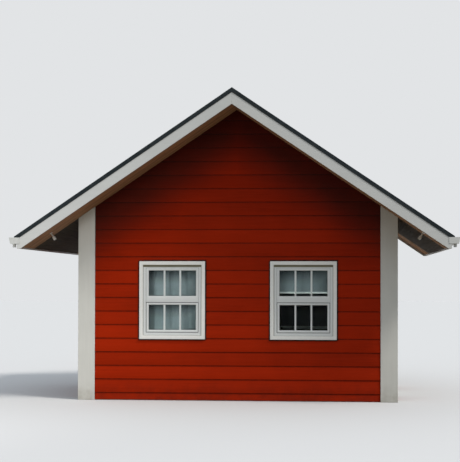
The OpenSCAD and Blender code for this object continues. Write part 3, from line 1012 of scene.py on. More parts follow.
# The eave boards are the verge boards' wood, painted much darker as shade deep under the eaves.
SOFFIT_LEVEL_SHADED = Wood(
    "stained_eave_boards_shaded", roughness=0.75, specular=0.04, pale=srgb(80, 70, 55), dark=srgb(49, 43, 34),
    spread=0.25,
)
FRAME_TIMBER = Wood(
    "sawn_frame_timber", roughness=0.8, specular=0.2, pale=srgb(178, 140, 96), dark=srgb(120, 86, 54),
    stretch=(2.0, 26.0, 26.0),
)
DECK_WOOD = Wood(
    "roof_deck_boards", roughness=0.85, specular=0.15, pale=srgb(164, 130, 92), dark=srgb(112, 84, 56),
    stretch=(12.0, 1.0, 12.0),
)
SHINGLE_FELT = Granules("charcoal_shingle_granules", roughness=0.9, specular=0.25)
ROOF_METAL = Metal("dark_roof_metal", 0.6, 0.15, colour=srgb(28, 35, 38), dust=srgb(62, 68, 70))
SLAB = Concrete("floated_slab_concrete", roughness=0.85, specular=0.3)
STEEL = Metal(
    "brushed_handle_steel", 0.32, metallic=1.0, colour=srgb(190, 190, 188), dust=srgb(140, 140, 138),
    stretch=(200.0, 12.0, 200.0),
)
# Black rubber of the glazing gaskets, also the colour of the painted shade seals at the sash joints.
GASKET = Metal("black_glazing_rubber", 0.7, 0.3, colour=srgb(22, 23, 24), dust=srgb(52, 52, 50))
# A dull olive colour for the strip of painted shade under the window casings.
SHADE_STRIP = Metal("olive_shade_strip", 0.75, 0.2, colour=srgb(106, 103, 84), dust=srgb(132, 128, 108))
LENS = Metal("frosted_lamp_lens", 0.3, colour=srgb(170, 174, 172), dust=srgb(120, 122, 118))
BLIND_CLOTH = Cloth("woven_blind_cloth", roughness=0.9, specular=0.15)
GLASS = Glazing("clear_window_glass", roughness=0.0, specular=0.12)


def piece(
    name: str, form: Shape | bpy.types.Mesh, finish: Finish, replaces: Sequence[str] = (),
    arris: float = 0.0, steps: int = 1,
) -> Object:
    """Makes a form a piece of the hut.

    Args:
        name: The piece's name.
        form: Its form.
        finish: Its finish.
        replaces: The model's nodes that it stands for.
        arris: Width of the bevel on its sharp edges, or 0 for none.
        steps: Number of faces across the bevel.

    Returns:
        The piece, riding on the hut.
    """
    made = bpy.data.objects.new(name, form.mesh(name) if isinstance(form, Shape) else form)
    bpy.context.scene.collection.objects.link(made)
    made.data.materials.clear()
    made.data.materials.append(finish.material())
    if arris:
        bevel = made.modifiers.new("soft_edges", "BEVEL")
        bevel.width, bevel.segments = arris, steps
        bevel.limit_method, bevel.angle_limit = "ANGLE", BEVEL_ANGLE
        bevel.harden_normals = True
    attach(made, BODY)
    if replaces:
        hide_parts(*replaces)
    log.info("%s: %d faces, %s", name, len(made.data.polygons), finish.name)
    return made


def eased_node(node: str, finish: Finish, arris: float) -> Object:
    """Stands for a node with a copy of its form whose edges are eased.

    The copy's loose triangles are merged and its flat faces made whole before the bevel.

    Args:
        node: The model's node.
        finish: The finish.
        arris: Width of the bevel.

    Returns:
        The piece that stands for the node.
    """
    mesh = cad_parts[node].data.copy()
    work = bmesh.new()
    work.from_mesh(mesh)
    bmesh.ops.remove_doubles(work, verts=work.verts, dist=1e-5)
    bmesh.ops.dissolve_limit(work, angle_limit=FLAT_ANGLE, verts=work.verts, edges=work.edges)
    for face in work.faces:
        face.smooth = False
    work.to_mesh(mesh)
    work.free()
    mesh.name = "eased_" + node
    return piece(mesh.name, mesh, finish, [node], arris, steps=2)


def dress_node(node: str, finish: Finish) -> None:
    """Gives a node of the model a finish in each of its material slots.

    Args:
        node: The model's node.
        finish: The finish.
    """
    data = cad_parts[node].data
    if not data.materials:
        data.materials.append(finish.material())
    for number in range(len(data.materials)):
        data.materials[number] = finish.material()
    log.info("%s: kept, %s", node, finish.name)


@dataclass(frozen=True)
class LapSiding:
    """Lapped boards of one wall, each thicker at its lower edge, cut round the openings."""

    side: Side
    face: float
    half_length: float
    top: float
    openings: tuple[Rectangle, ...]
    seed: int
    roof: Roofline | None = None
    exposure: float = 0.213
    first_lap: float = 0.123
    lift: float = 0.010
    butt: float = 0.020
    head: float = 0.008
    arris: float = 0.0035
    joint: float = 0.0006
    slope_gap: float = 0.001
    # Bands of dirt and painted shade under each board's next lap and round each opening, with the openings'
    # shade strength.
    lap_shade_band: float = 0.024
    opening_shade_band: float = 0.03
    opening_shade: float = 2.1
    widest_step: float = 0.4

    def half_at(self, z: Array) -> Array:
        """Half the wall's length at a height: the full one, or what the slope leaves.

        Args:
            z: Heights.

        Returns:
            Half the length at each height.
        """
        if self.roof is None:
            return np.full_like(z, self.half_length)
        return np.minimum(self.half_length, (self.roof.apex - z) / self.roof.pitch - self.slope_gap)

    def thickness(self, z: Array, lap: float) -> Array:
        """Straight fall from the butt at the lap to the head, less a quarter-round arris.

        Args:
            z: Heights.
            lap: Height of the board's lower edge.

        Returns:
            The thickness at each height.
        """
        plain = self.butt + (self.head - self.butt) * (z - lap) / self.exposure
        short = np.clip(1 - (z - lap) / self.arris, 0, 1)
        return plain - self.arris * (1 - np.sqrt(1 - short**2))

    def board(self, number: int, tone: float) -> Shape | None:
        """One board, or None where it lies wholly in an opening or above the wall.

        Args:
            number: The board's number, from 0 at the ground.
            tone: Its tone from 0 to 1.

        Returns:
            The board in place.
        """
        lap = self.first_lap + (number - 1) * self.exposure
        low, high = max(lap, self.lift), min(lap + self.exposure, self.top) - self.joint
        if high - low < 3 * self.arris:
            return None
        rings = [*self.openings, *(hole.grown(self.opening_shade_band) for hole in self.openings)]
        edges = [edge for ring in rings for edge in (ring.low, ring.high)]
        if self.roof is not None:
            edges.append(self.roof.apex - self.roof.pitch * (self.half_length + self.slope_gap))
        rounding = lap + self.arris * (1 - np.cos(np.linspace(0, np.pi / 2, 4)))
        lines = [low, high, high - self.lap_shade_band, (low + high) / 2, *rounding, *edges]
        heights = np.unique(np.round(np.clip(lines, low, high), 5))
        even = np.arange(-self.half_length, self.half_length, self.widest_step)
        ends = [end for ring in rings for end in (ring.left, ring.right)]
        steps = np.unique(np.round([-self.half_length, self.half_length, *even, *ends], 5))
        steps = np.clip(steps, -self.half_length, self.half_length)
        share, z = np.meshgrid(steps / self.half_length, heights, indexing="ij")
        along = share * self.half_at(z)
        middle = [(values[:-1, :-1] + values[1:, 1:]) / 2 for values in (along, z)]
        solid = np.ones(middle[0].shape, bool)
        # Painted shade with some dirt, rising to 1 under the next board's butt, and stronger beside each
        # opening.
        grime = np.clip(1 - (high - z) / self.lap_shade_band, 0, 1)
        for hole in self.openings:
            solid &= hole.distance(*middle) > 0
            grime = np.maximum(grime, self.opening_shade * (1 - hole.distance(along, z) / self.opening_shade_band))
        if not solid.any():
            return None
        front = self.side.place(np.stack([along, self.face + self.thickness(z, lap), z], -1))
        back = self.side.place(np.stack([along, np.full_like(z, self.face), z], -1))
        return grid_slab(front, back, solid, grime).marked("tone", tone)

    def build(self) -> None:
        """Builds every board and joins them as the wall's siding."""
        rows = math.ceil((self.top - self.first_lap) / self.exposure) + 1
        tones = np.random.default_rng(self.seed).random(rows)
        boards = [self.board(number, tone) for number, tone in enumerate(tones)]
        shape = joined([board for board in boards if board is not None])
        finish = SIDING_X if self.side in (Side.FRONT, Side.REAR) else SIDING_Y
        name = self.side.value
        piece(f"{name}_lap_boards", shape, finish, [f"{name}_siding"])


@dataclass(frozen=True)
class CornerBoards:
    """Two wide boards at each corner, their tops cut to the soffit."""

    measures: Measures
    thickness: float = 0.028
    joint: float = 0.0006
    arris: float = 0.004
    tones: Span = (0.6, 0.3)

    def build(self) -> None:
        """Builds the front right corner and its images at the other corners."""
        m = self.measures
        front_y = (-m.half_d, -m.half_d + self.thickness)
        flank_y = (front_y[1] + self.joint, -m.half_d + m.corner_w)
        front = self.upright((m.half_w - m.corner_w, m.half_w), front_y, self.tones[0])
        flank = self.upright((m.half_w - self.thickness, m.half_w), flank_y, self.tones[1])
        corner = joined([front, flank])
        for across, sign in HANDS.items():
            for end, turn in {"front": 1, "rear": -1}.items():
                node, made = f"{end}_{across}_corner_board", corner.scaled(sign, turn, 1)
                piece(f"{end}_{across}_corner_pair", made, TRIM, [node], self.arris, steps=2)

    def upright(self, x: Span, y: Span, tone: float) -> Shape:
        """A board between two faces in X and two in Y, up to the soffit.

        Args:
            x: The faces in X.
            y: The faces in Y.
            tone: The board's tone from 0 to 1.

        Returns:
            The board.
        """
        across = spread(x, 0)
        z = np.concatenate([0 * across, self.measures.roof.height(across, 0.0)], 1)
        return blocks(across, spread(y, 1), z).marked("tone", tone)


@dataclass(frozen=True)
class SoffitBoards:
    """Stained boards under the overhangs, with V joints between them."""

    measures: Measures
    face: float = 0.092
    thickness: float = 0.012
    arris: float = 0.003
    ridge_gap: float = 0.0002
    seed: int = 7

    def rows(self, start: float, end: float) -> Array:
        """Pairs of limits of equal rows, each of about one board's face, between two places."""
        lines = np.linspace(start, end, round((end - start) / self.face) + 1)
        return np.stack([lines[:-1], lines[1:]], -1)

    def slabs(self, x: Array, y: Array, tones: Array) -> Shape:
        """Boards on the soffit's face, for pairs of limits in X and in Y.

        Args:
            x: (n, 2) or (1, 2) limits in X.
            y: (n, 2) or (1, 2) limits in Y.
            tones: (n,) tones.

        Returns:
            The boards as one shape.
        """
        across, height = spread(x, 0), self.measures.roof.height
        z = np.concatenate([height(across, 0.0), height(across, self.thickness)], 1)
        return blocks(across, spread(y, 1), z, tones)

    def build(self) -> None:
        """Runs the verge boards up the slope and the eave boards along the wall."""
        m = self.measures
        verge_y, eave_x = self.rows(m.core_y, m.barge_in), self.rows(m.core_x, m.fascia_in)
        verge_y = np.concatenate([verge_y, -verge_y[:, ::-1]])
        # The eave boards take the darker copy of the stain, as painted shade.
        parts = {
            "verge": (np.array([[self.ridge_gap, m.fascia_in]]), verge_y, SOFFIT_SLOPE),
            "eave": (eave_x, np.array([[-m.core_y, m.core_y]]), SOFFIT_LEVEL_SHADED),
        }
        for name, sign in HANDS.items():
            draw = np.random.default_rng(self.seed + sign)
            for part, (x, y, finish) in parts.items():
                shape = self.slabs(x, y, draw.random(max(len(x), len(y)))).scaled(sign, 1, 1)
                node = [f"{name}_soffit"] if part == "verge" else []
                piece(f"{name}_{part}_soffit_boards", shape, finish, node, self.arris)


@dataclass(frozen=True)
class Shingles:
    """Courses of shingle tabs with keyways between them, over a felt that closes the keyways."""

    measures: Measures
    deck: float = 0.140
    course: float = 0.145
    tab: float = 0.333
    keyway: float = 0.007
    start: float = 0.08
    butt: float = 0.024
    head: float = 0.015
    felt: float = 0.011
    felt_gap: float = 0.0002
    uneven: float = 0.002
    top_end: float = -0.09
    arris: float = 0.0025
    cap_reach: float = 0.170
    cap_step: float = 0.30
    cap_lap: float = 0.04
    cap_low: float = 0.1645
    cap_high: float = 0.170
    cap_seat: float = 0.0025
    seed: int = 20
    cap_seed: int = 31

    def course_tabs(self, number: int, butt_at: float, head_at: float, draw: np.random.Generator) -> Shape:
        """Tabs of one course on the right slope, half a tab aside from the next.

        Args:
            number: The course's number, from 0 at the eave.
            butt_at: Distance of its butt down the slope.
            head_at: Distance of its head down the slope.
            draw: Source of the tabs' tones and wear.

        Returns:
            The course's tabs.
        """
        end = self.measures.deck_y
        first = -end - (self.tab / 2 if number % 2 else self.start)
        edges = np.clip(np.arange(first, end + self.tab, self.tab), -end, end)
        low, high = edges[:-1], edges[1:]
        kept = high - low > 2 * self.keyway
        low, high = low[kept] + self.keyway / 2, high[kept] - self.keyway / 2
        low[0], high[-1] = -end, end
        cover = np.full((len(low), 2, 2), self.deck + self.felt / 2)
        cover[:, 1, 0] = self.deck + self.head
        cover[:, 1, 1] = self.deck + self.butt - draw.random(len(low)) * self.uneven
        along = np.full(cover.shape, head_at)
        along[..., 1] = butt_at - (draw.random(len(low)) * self.uneven)[:, None]
        x, z = self.measures.roof.down(along, cover)
        y = spread(np.stack([low, high], -1), 1)
        return blocks(x[:, :, None], y, z[:, :, None], draw.random(len(low)))

    def slope(self, seed: int) -> Shape:
        """All courses of the right slope, over the felt.

        Args:
            seed: Seed of the tabs' tones and wear.

        Returns:
            The slope as one shape.
        """
        m, draw = self.measures, np.random.default_rng(seed)
        sin, cos = math.sin(m.roof.angle), math.cos(m.roof.angle)
        eave = m.shingle_x / cos
        lowest = (m.shingle_x - (self.deck + self.butt) * sin) / cos
        parts = []
        for number in range(math.ceil((eave - self.top_end) / self.course)):
            butt_at = min(eave - number * self.course, lowest)
            head_at = max(eave - (number + 1) * self.course, self.top_end)
            if butt_at - head_at > 2 * self.uneven:
                parts.append(self.course_tabs(number, butt_at, head_at, draw))
        along = np.array([self.top_end, lowest, lowest, self.top_end])
        outline = m.roof.down(along, self.deck + np.repeat([self.felt_gap, self.felt], 2))
        path = np.outer([-m.deck_y, m.deck_y], Y_WAY)
        return joined([*parts, carried(np.stack(outline, -1), path, X_WAY, Z_WAY)])

    def ridge(self) -> Shape:
        """Bent caps along the ridge, each lapped a little by the next.

        Returns:
            The caps as one shape.
        """
        m, draw = self.measures, np.random.default_rng(self.cap_seed)
        x = self.cap_reach * math.cos(m.roof.angle) * np.array([[-1, 0, 1, 1, 0, -1]] * 2)
        covers = np.full((2, 6), self.cap_low)
        covers[:, 3:] = [[self.cap_high], [self.cap_high - self.cap_seat]]
        z = m.roof.height(x, covers)
        caps = []
        for start in np.arange(-m.deck_y, m.deck_y - self.cap_lap, self.cap_step):
            stop = min(start + self.cap_step + self.cap_lap, m.deck_y)
            rings = np.stack([x, np.broadcast_to([[start], [stop]], x.shape), z], -1)
            caps.append(skinned(rings).marked("tone", draw.random()))
        return joined(caps)

    def build(self) -> None:
        """Builds both slopes and the ridge."""
        for name, sign in HANDS.items():
            shape, nodes = self.slope(self.seed + sign).scaled(sign, 1, 1), [f"{name}_shingles"]
            piece(f"{name}_shingle_tabs", shape, SHINGLE_FELT, nodes, self.arris)
        piece("ridge_cap_shingles", self.ridge(), SHINGLE_FELT, ["ridge_cap"], self.arris)


@dataclass(frozen=True)
class RoofEdges:
    """Bargeboards, fascias and verge trims with their screws, and the gutters' straps."""

    measures: Measures
    barge_arris: float = 0.003
    screw_radius: float = 0.006
    screw_height: float = 0.0025
    screw_sink: float = 0.0001
    screw_step: float = 0.42
    screw_inset: float = 0.037
    screw_stop: float = 0.1
    strap_width: float = 0.022
    strap_thickness: float = 0.002
    strap_fall: float = 0.046
    strap_step: float = 0.55
    strap_ends: Span = (0.003, -0.006)
    strap_arris: float = 0.0006

    def verge_screws(self) -> Shape:
        """Low round screw heads at even steps down both slopes, on the trims' flanges.

        A head is a quarter wave from its rim to its flat top. The flanges' tops lie (top of the
        trims - apex) * cos(angle) above the soffit's face.

        Returns:
            The screws of all four verges.
        """
        roof, trims = self.measures.roof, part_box("verge_trims")
        rise = np.linspace(0, 0.85, 4) * np.pi / 2
        profile = np.stack([self.screw_radius * np.cos(rise), self.screw_height * np.sin(rise)], -1)
        upright = np.array([math.sin(roof.angle), 0.0, math.cos(roof.angle)])
        dome = lathed(profile, np.zeros(3), upright, sides=10)
        last = (self.measures.shingle_x - self.screw_stop) / math.cos(roof.angle)
        along = np.arange(self.screw_step / 2, last, self.screw_step)
        cover = (trims[1].z - roof.apex) * math.cos(roof.angle) - self.screw_sink
        x, z = roof.down(along, cover)
        y = np.full_like(x, trims[0].y + self.screw_inset)
        return repeated(dome, np.stack([x, y, z], -1)).mirrored(0, 1)

    def straps(self) -> Shape:
        """Thin straps that rise from the fascia to a gutter's rim, mirrored to both eaves.

        Returns:
            The straps of both gutters.
        """
        m, gutter = self.measures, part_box("right_gutter")
        lines = np.linspace(-m.barge_y, m.barge_y, round(2 * m.barge_y / self.strap_step) + 1)
        middle = (lines[:-1, None] + lines[1:, None]) / 2
        y = spread(middle + np.array([-0.5, 0.5]) * self.strap_width, 1)
        x = spread([m.fascia_x + self.strap_ends[0], gutter[1].x + self.strap_ends[1]], 0)
        low = gutter[1].z - spread([self.strap_fall, self.strap_thickness], 0)
        return blocks(x, y, np.concatenate([low, low + self.strap_thickness], 1)).mirrored(0)

    def build(self) -> None:
        """Builds the boards, the screws and the straps."""
        # The bargeboards and fascias take the paler copy of the trim paint, as painted light.
        for node in ("front_bargeboards", "rear_bargeboards", "fascias"):
            eased_node(node, TRIM_LEVEL_LIT, self.barge_arris)
        dress_node("verge_trims", ROOF_METAL)
        piece("verge_trim_screws", self.verge_screws(), ROOF_METAL)
        for name in ("left", "right"):
            dress_node(f"{name}_gutter", GUTTER_WHITE)
        piece("gutter_straps", self.straps(), GUTTER_WHITE, arris=self.strap_arris)


@dataclass(frozen=True)
class EaveLamps:
    """Small spot lamps square to the soffit, turned from a profile, with a frosted lens."""

    measures: Measures
    x: float = 2.870
    setback: float = 0.550
    plate_radius: float = 0.025
    plate: float = 0.006
    neck_radius: float = 0.012
    neck: float = 0.062
    head_radius: float = 0.023
    head: float = 0.054
    recess: float = 0.008
    rim: float = 0.003

    def build(self) -> None:
        """Turns the body and the lens and mirrors them to the left eave."""
        roof = self.measures.roof
        origin = np.array([self.x, -self.measures.barge_y + self.setback, roof.height(self.x, 0.0)])
        axis = -np.array([math.sin(roof.angle), 0, math.cos(roof.angle)])
        end = self.plate + self.neck
        mouth, lip = end + self.head, self.head_radius - self.rim
        floor = mouth - self.recess
        plate, neck, head = self.plate_radius, self.neck_radius, self.head_radius
        body = np.array([
            [plate, 0], [plate, self.plate - 0.002], [plate - 0.002, self.plate],
            [neck * 0.7, self.plate], [neck * 0.6, self.plate + 0.012], [neck, self.plate + 0.02],
            [neck, end - 0.006], [neck + 0.002, end - 0.002], [head - 0.003, end + 0.002],
            [head, end + 0.008], [head, mouth - 0.001], [head - 0.001, mouth], [lip, mouth],
            [lip, floor], [0.004, floor],
        ])
        lens = np.array([[lip - 0.0005, floor], [0.014, floor + 0.004], [0.004, floor + 0.005]])
        for name, profile, finish, node in (
            ("eave_spot_lamps", body, LAMP_WHITE, ["eave_lamps"]), ("eave_lamp_lenses", lens, LENS, []),
        ):
            piece(name, lathed(profile, origin, axis).mirrored(0), finish, node)


@dataclass(frozen=True)
class SashWindow:
    """A window of two sashes one above the other in a picture-frame casing, three lights each."""

    side: Side
    centre: float
    low: float = 0.958
    width: float = 1.035
    height: float = 1.218
    face: float = 1.410
    casing: float = 0.056
    casing_depth: float = 0.038
    casing_arris: float = 0.004
    gap: float = 0.0003
    frame_setback: float = 0.016
    frame_face: float = 0.046
    frame_depth: float = 0.132
    sash_setback: float = 0.021
    sash_depth: float = 0.036
    stile: float = 0.042
    upper_meeting: float = 0.101
    lower_meeting: float = 0.036
    meeting_gap: float = 0.002
    groove: float = 0.002
    groove_depth: float = 0.012
    # Widths of the dark strips that stand for shade: under the casing's head and sides, and in the joints
    # round the sashes.
    head_shade_strip: float = 0.034
    side_shade_strip: float = 0.006
    sash_shade_seal: float = 0.008
    seal_proud: float = 0.0006
    strip_proud: float = 0.001
    strip_depth: float = 0.002
    upper_pane: float = 0.398
    bead: float = 0.008
    bead_drop: float = 0.007
    glass: float = 0.006
    bar: float = 0.028
    bar_face: float = 0.018
    bar_setback: float = 0.003
    bar_chamfer: float = 0.005
    bar_lap: float = 0.001
    lights: int = 3
    gasket: float = 0.003
    arris: float = 0.0025

    def rect(self) -> Rectangle:
        """Outside of the casing."""
        half = self.width / 2
        return Rectangle(self.centre - half, self.centre + half, self.low, self.low + self.height)

    def frame_rect(self) -> Rectangle:
        """Outside of the frame."""
        return self.rect().grown(-self.casing - self.gap)

    def sash_rects(self) -> tuple[Rectangle, Rectangle]:
        """Outsides of the upper and the lower sash, a small gap apart.

        Returns:
            The upper and the lower sash.
        """
        zone = self.frame_rect().grown(-self.frame_face - self.gap)
        parting = zone.high - self.stile - self.upper_pane - self.upper_meeting
        upper = Rectangle(zone.left, zone.right, parting, zone.high)
        return upper, Rectangle(zone.left, zone.right, zone.low, parting - self.meeting_gap)

    def section(self, depth: float, inner: list[list[float]]) -> Array:
        """Section with a narrow groove beside its rounded outer edge, then its inner points.

        Args:
            depth: Depth of the section.
            inner: Its inner points, from the face inwards.

        Returns:
            (k, 3) share, offset and depth of the closed section.
        """
        a, g = self.arris, self.groove
        outer = [
            [0, 0, depth], [0, 0, self.groove_depth], [0, g, self.groove_depth], [0, g, a],
            [0, g + a * 0.3, a * 0.3], [0, g + a, 0],
        ]
        return np.array(outer + inner + [[1, 0, depth]])

    def casing_section(self) -> Array:
        """Section of a plain board with both front arrises rounded to a quarter circle.

        Returns:
            (k, 3) share, offset and depth of the closed section.
        """
        turn, arris = np.linspace(0, np.pi / 2, 4), self.casing_arris
        rounding = [np.zeros(4), arris * (1 - np.cos(turn)), arris * (1 - np.sin(turn))]
        outer = np.stack(rounding, -1)
        inner = np.array([1, 0, 0]) + outer[::-1] * np.array([1, -1, 1])
        return np.concatenate([outer, inner, [[1, 0, self.casing_depth], [0, 0, self.casing_depth]]])

    def bars(self, pane: Rectangle) -> Shape:
        """Upright glazing bars that part a pane, chamfered on both faces of the glass.

        Args:
            pane: The pane that they part.

        Returns:
            The bars in wall terms.
        """
        near, half, slim = self.bar_setback, self.bar / 2, self.bar_face / 2
        glass, bend = (self.sash_depth - self.glass) / 2, near + self.bar_chamfer
        flank = [[slim, near], [half, bend], [half, glass]]
        outline = np.array([[-across, drop] for across, drop in flank[::-1]] + flank)
        back = outline * np.array([1, -1]) + np.array([0, self.sash_depth])
        out, lap = self.face - self.sash_setback, self.bar_lap
        parts = []
        for share in np.arange(1, self.lights) / self.lights:
            x = pane.left + share * (pane.right - pane.left)
            path = np.array([[x, out, pane.low - lap], [x, out, pane.high + lap]])
            parts += [carried(drawn, path, X_WAY, -Y_WAY) for drawn in (outline, back)]
        return joined(parts)

    def sash(self, rect: Rectangle, top: float, bottom: float) -> tuple[Shape, Shape]:
        """A sash with its bars, and its gasket, in wall terms.

        Args:
            rect: Outside of the sash.
            top: Height of its top rail.
            bottom: Height of its bottom rail.

        Returns:
            The ring joined with the bars, and the gasket.
        """
        a, bead, drop = self.arris, self.bead, self.bead_drop
        out, pane = self.face - self.sash_setback, rect.inset(self.stile, top, bottom)
        inner = [[1, -bead - a, 0], [1, -bead, a * 0.6], [1, -bead * 0.5, drop * 0.7], [1, 0, drop]]
        ring = bordered(rect, pane, self.section(self.sash_depth, inner), out)
        lip = (self.sash_depth - self.glass) / 2
        strip = [[0, 0, lip - 0.002], [1, 0, lip - 0.001], [1, 0, lip], [0, 0, lip]]
        seal = bordered(pane.grown(-0.0001), pane.grown(-self.gasket), strip, out)
        return joined([ring, self.bars(pane)]), seal

    def flat_strip(self, outer: Rectangle, inner: Rectangle, setback: float, proud: float) -> Shape:
        """A thin flat ring that stands a little proud of a face and some way deep in it."""
        flat = [[0, 0, self.strip_depth], [0, 0, -proud], [1, 0, -proud], [1, 0, self.strip_depth]]
        return bordered(outer, inner, flat, self.face - setback)

    def build(self) -> dict[str, Shape]:
        """Builds the window's shapes in place.

        The olive strip round the frame inside the casing, broad at the head, is painted shade under the
        casing. The dark seals over the joint round the lower sash and beside the upper one are painted shade
        in those joints.

        Returns:
            The shapes by name of part.
        """
        a, seal, slim = self.arris, self.sash_shade_seal, self.sash_shade_seal / 4
        rect, frame_rect = self.rect(), self.frame_rect()
        upper, lower = self.sash_rects()
        upper_sash, upper_seal = self.sash(upper, self.stile, self.upper_meeting)
        lower_sash, lower_seal = self.sash(lower, self.lower_meeting, self.stile)
        reveal = self.section(self.frame_depth, [[1, -a, 0], [1, -a * 0.3, a * 0.3], [1, 0, a]])
        opening = frame_rect.grown(-self.frame_face)
        strip_inner = frame_rect.inset(self.side_shade_strip, self.head_shade_strip, self.side_shade_strip / 2)
        # Dark strips over the sash joints, painted shade in those joints.
        shade_seals = [
            self.flat_strip(sash.grown(slim), inner, self.sash_setback, self.seal_proud)
            for sash, inner in ((lower, lower.inset(seal, seal / 2, seal)), (upper, upper.grown(-slim)))
        ]
        shapes = {
            "casings": bordered(rect, rect.grown(-self.casing), self.casing_section(), self.face),
            "frames": bordered(frame_rect, opening, reveal, self.face - self.frame_setback),
            "upper_sashes": upper_sash,
            "lower_sashes": lower_sash,
            "gaskets": joined([upper_seal, lower_seal, *shade_seals]),
            "shade_strips": self.flat_strip(frame_rect, strip_inner, self.frame_setback, self.strip_proud),
        }
        return {name: shape.moved(self.side.place) for name, shape in shapes.items()}


def gable_windows(side: Side) -> list[SashWindow]:
    """The two windows of a gable wall, both a little to the right as seen from the front."""
    shift = WINDOW_SHIFT if side is Side.FRONT else -WINDOW_SHIFT
    return [SashWindow(side, shift - WINDOW_X), SashWindow(side, shift + WINDOW_X)]


def window_row(side: Side) -> None:
    """Builds the windows of one gable wall and joins their like parts.

    Args:
        side: The wall.
    """
    built = [window.build() for window in gable_windows(side)]
    # The shade strips and shade seals are dark pieces that stand for shade.
    rows = {
        "casings": ("window_casings", CASING_PAINT), "frames": ("window_frames", WINDOW_WHITE),
        "upper_sashes": ("upper_sashes", WINDOW_WHITE), "lower_sashes": ("lower_sashes", WINDOW_WHITE),
        "gaskets": (None, GASKET), "shade_strips": (None, SHADE_STRIP),
    }
    for part, (node, finish) in rows.items():
        name = f"{side.value}_{'built' if node else 'window'}_{part}"
        nodes = [f"{side.value}_{node}"] if node else []
        piece(name, joined([window[part] for window in built]), finish, nodes)
    dress_node(f"{side.value}_glass", GLASS)


@dataclass(frozen=True)
class RollerBlind:
    """A cloth blind behind a window: a box on the wall, a hanging cloth and a bottom bar."""

    name: str
    window: SashWindow
    lower_edge: float
    wall: float
    nodes: tuple[str, ...]
    seed: int
    side_lap: float = 0.020
    case: float = 0.064
    case_arris: float = 0.006
    bar_height: float = 0.028
    bar_thickness: float = 0.012
    bar_arris: float = 0.004
    cloth_inset: float = 0.006
    cloth_rise: float = 0.004
    thickness: float = 0.0008
    ripple: float = 0.0014
    ripples: float = 7.0
    columns: int = 64
    rows: int = 48
    # Reach and strength of the painted shade below each pane's head and beside the last pane's right edge.
    head_shade: float = 0.22
    head_rise: float = 0.06
    side_shade: float = 0.16
    side_share: float = 0.7

    def build(self) -> None:
        rect, low, wall = self.window.frame_rect(), self.lower_edge, self.wall
        left, right, base = rect.left - self.side_lap, rect.right + self.side_lap, rect.high
        middle, half, bar_height = wall - self.case / 2, self.bar_thickness / 2, self.bar_height
        forms = {
            "box": ((wall - self.case, wall), (base, base + self.case), WINDOW_WHITE, self.case_arris),
            "bar": ((middle - half, middle + half), (low, low + bar_height), BLIND_BAR, self.bar_arris),
        }
        for part, (out, up, finish, arris) in forms.items():
            form = box((left, right), out, up).moved(self.window.side.place)
            piece(f"{self.name}_{part}", form, finish, (), arris, steps=3)
        inset = self.cloth_inset
        flat = Rectangle(left + inset, right - inset, low + bar_height / 2, base + self.cloth_rise)
        self.cloth(flat, middle)

    def painted_window_shade(self, along: Array, z: Array) -> Array:
        """Painted shade that the window lays on each point of the cloth, from 0 to 1.

        The largest of 1 - drop below a pane's head / head shade, which ends a little above that
        head, and side share * (1 - distance from the last pane's edge / side shade).

        Args:
            along: Places along the wall.
            z: Heights.

        Returns:
            The mark's values.
        """
        window = self.window
        upper, lower = window.sash_rects()
        inside = upper.right - window.stile - along
        kept = self.side_share * np.clip(1 - inside / self.side_shade, 0, 1)
        for head in (upper.high - window.stile, lower.high - window.lower_meeting):
            near = np.clip(1 - (head - z) / self.head_shade, 0, 1) * (head - z > -self.head_rise)
            kept = np.maximum(kept, near)
        return kept

    def cloth(self, rect: Rectangle, middle: float) -> Object:
        """The hanging cloth: a flat grid with waves along it that fade towards the box.

        The distance from the flat is ripple * fall * (sine of the place along + a slower one).

        Args:
            rect: Edges of the cloth on the wall.
            middle: Distance of the flat cloth from the hut's middle.

        Returns:
            The cloth as a piece.
        """
        phase = np.random.default_rng(self.seed).random(2) * 2 * np.pi
        steps = (np.linspace(0, 1, count) for count in (self.columns, self.rows))
        share, rise = np.meshgrid(*steps, indexing="ij")
        fall = np.sin(np.pi * (1 - rise) * 0.8) ** 0.7
        waves = np.sin(share * self.ripples * 2 * np.pi + phase[0] + rise)
        waves += 0.5 * np.sin(share * self.ripples * 0.6 * 2 * np.pi + phase[1] - rise * 1.5)
        across, up = share * (rect.right - rect.left), rise * (rect.high - rect.low)
        plan = np.stack([rect.left + across, middle + self.ripple * fall * waves / 1.5, rect.low + up], -1)
        number = np.arange(share.size).reshape(share.shape)
        faces = np.stack([number[:-1, :-1], number[1:, :-1], number[1:, 1:], number[:-1, 1:]], -1)
        shape = Shape(self.window.side.place(plan).reshape(-1, 3), [faces.reshape(-1, 4)])
        # The kept mark carries the painted shade.
        shape = shape.marked("kept", self.painted_window_shade(plan[..., 0], plan[..., 2]).ravel())
        made = piece(f"{self.name}_cloth", shape, BLIND_CLOTH, self.nodes)
        corners = np.empty(len(made.data.loops), np.int32)
        made.data.loops.foreach_get("vertex_index", corners)
        flat = np.stack([across, up], -1).reshape(-1, 2)[corners].astype(np.float32)
        made.data.uv_layers.new(name="cloth").data.foreach_set("uv", flat.ravel())
        solid = made.modifiers.new("cloth_thickness", "SOLIDIFY")
        solid.thickness, solid.offset = self.thickness, 0.0
        return made


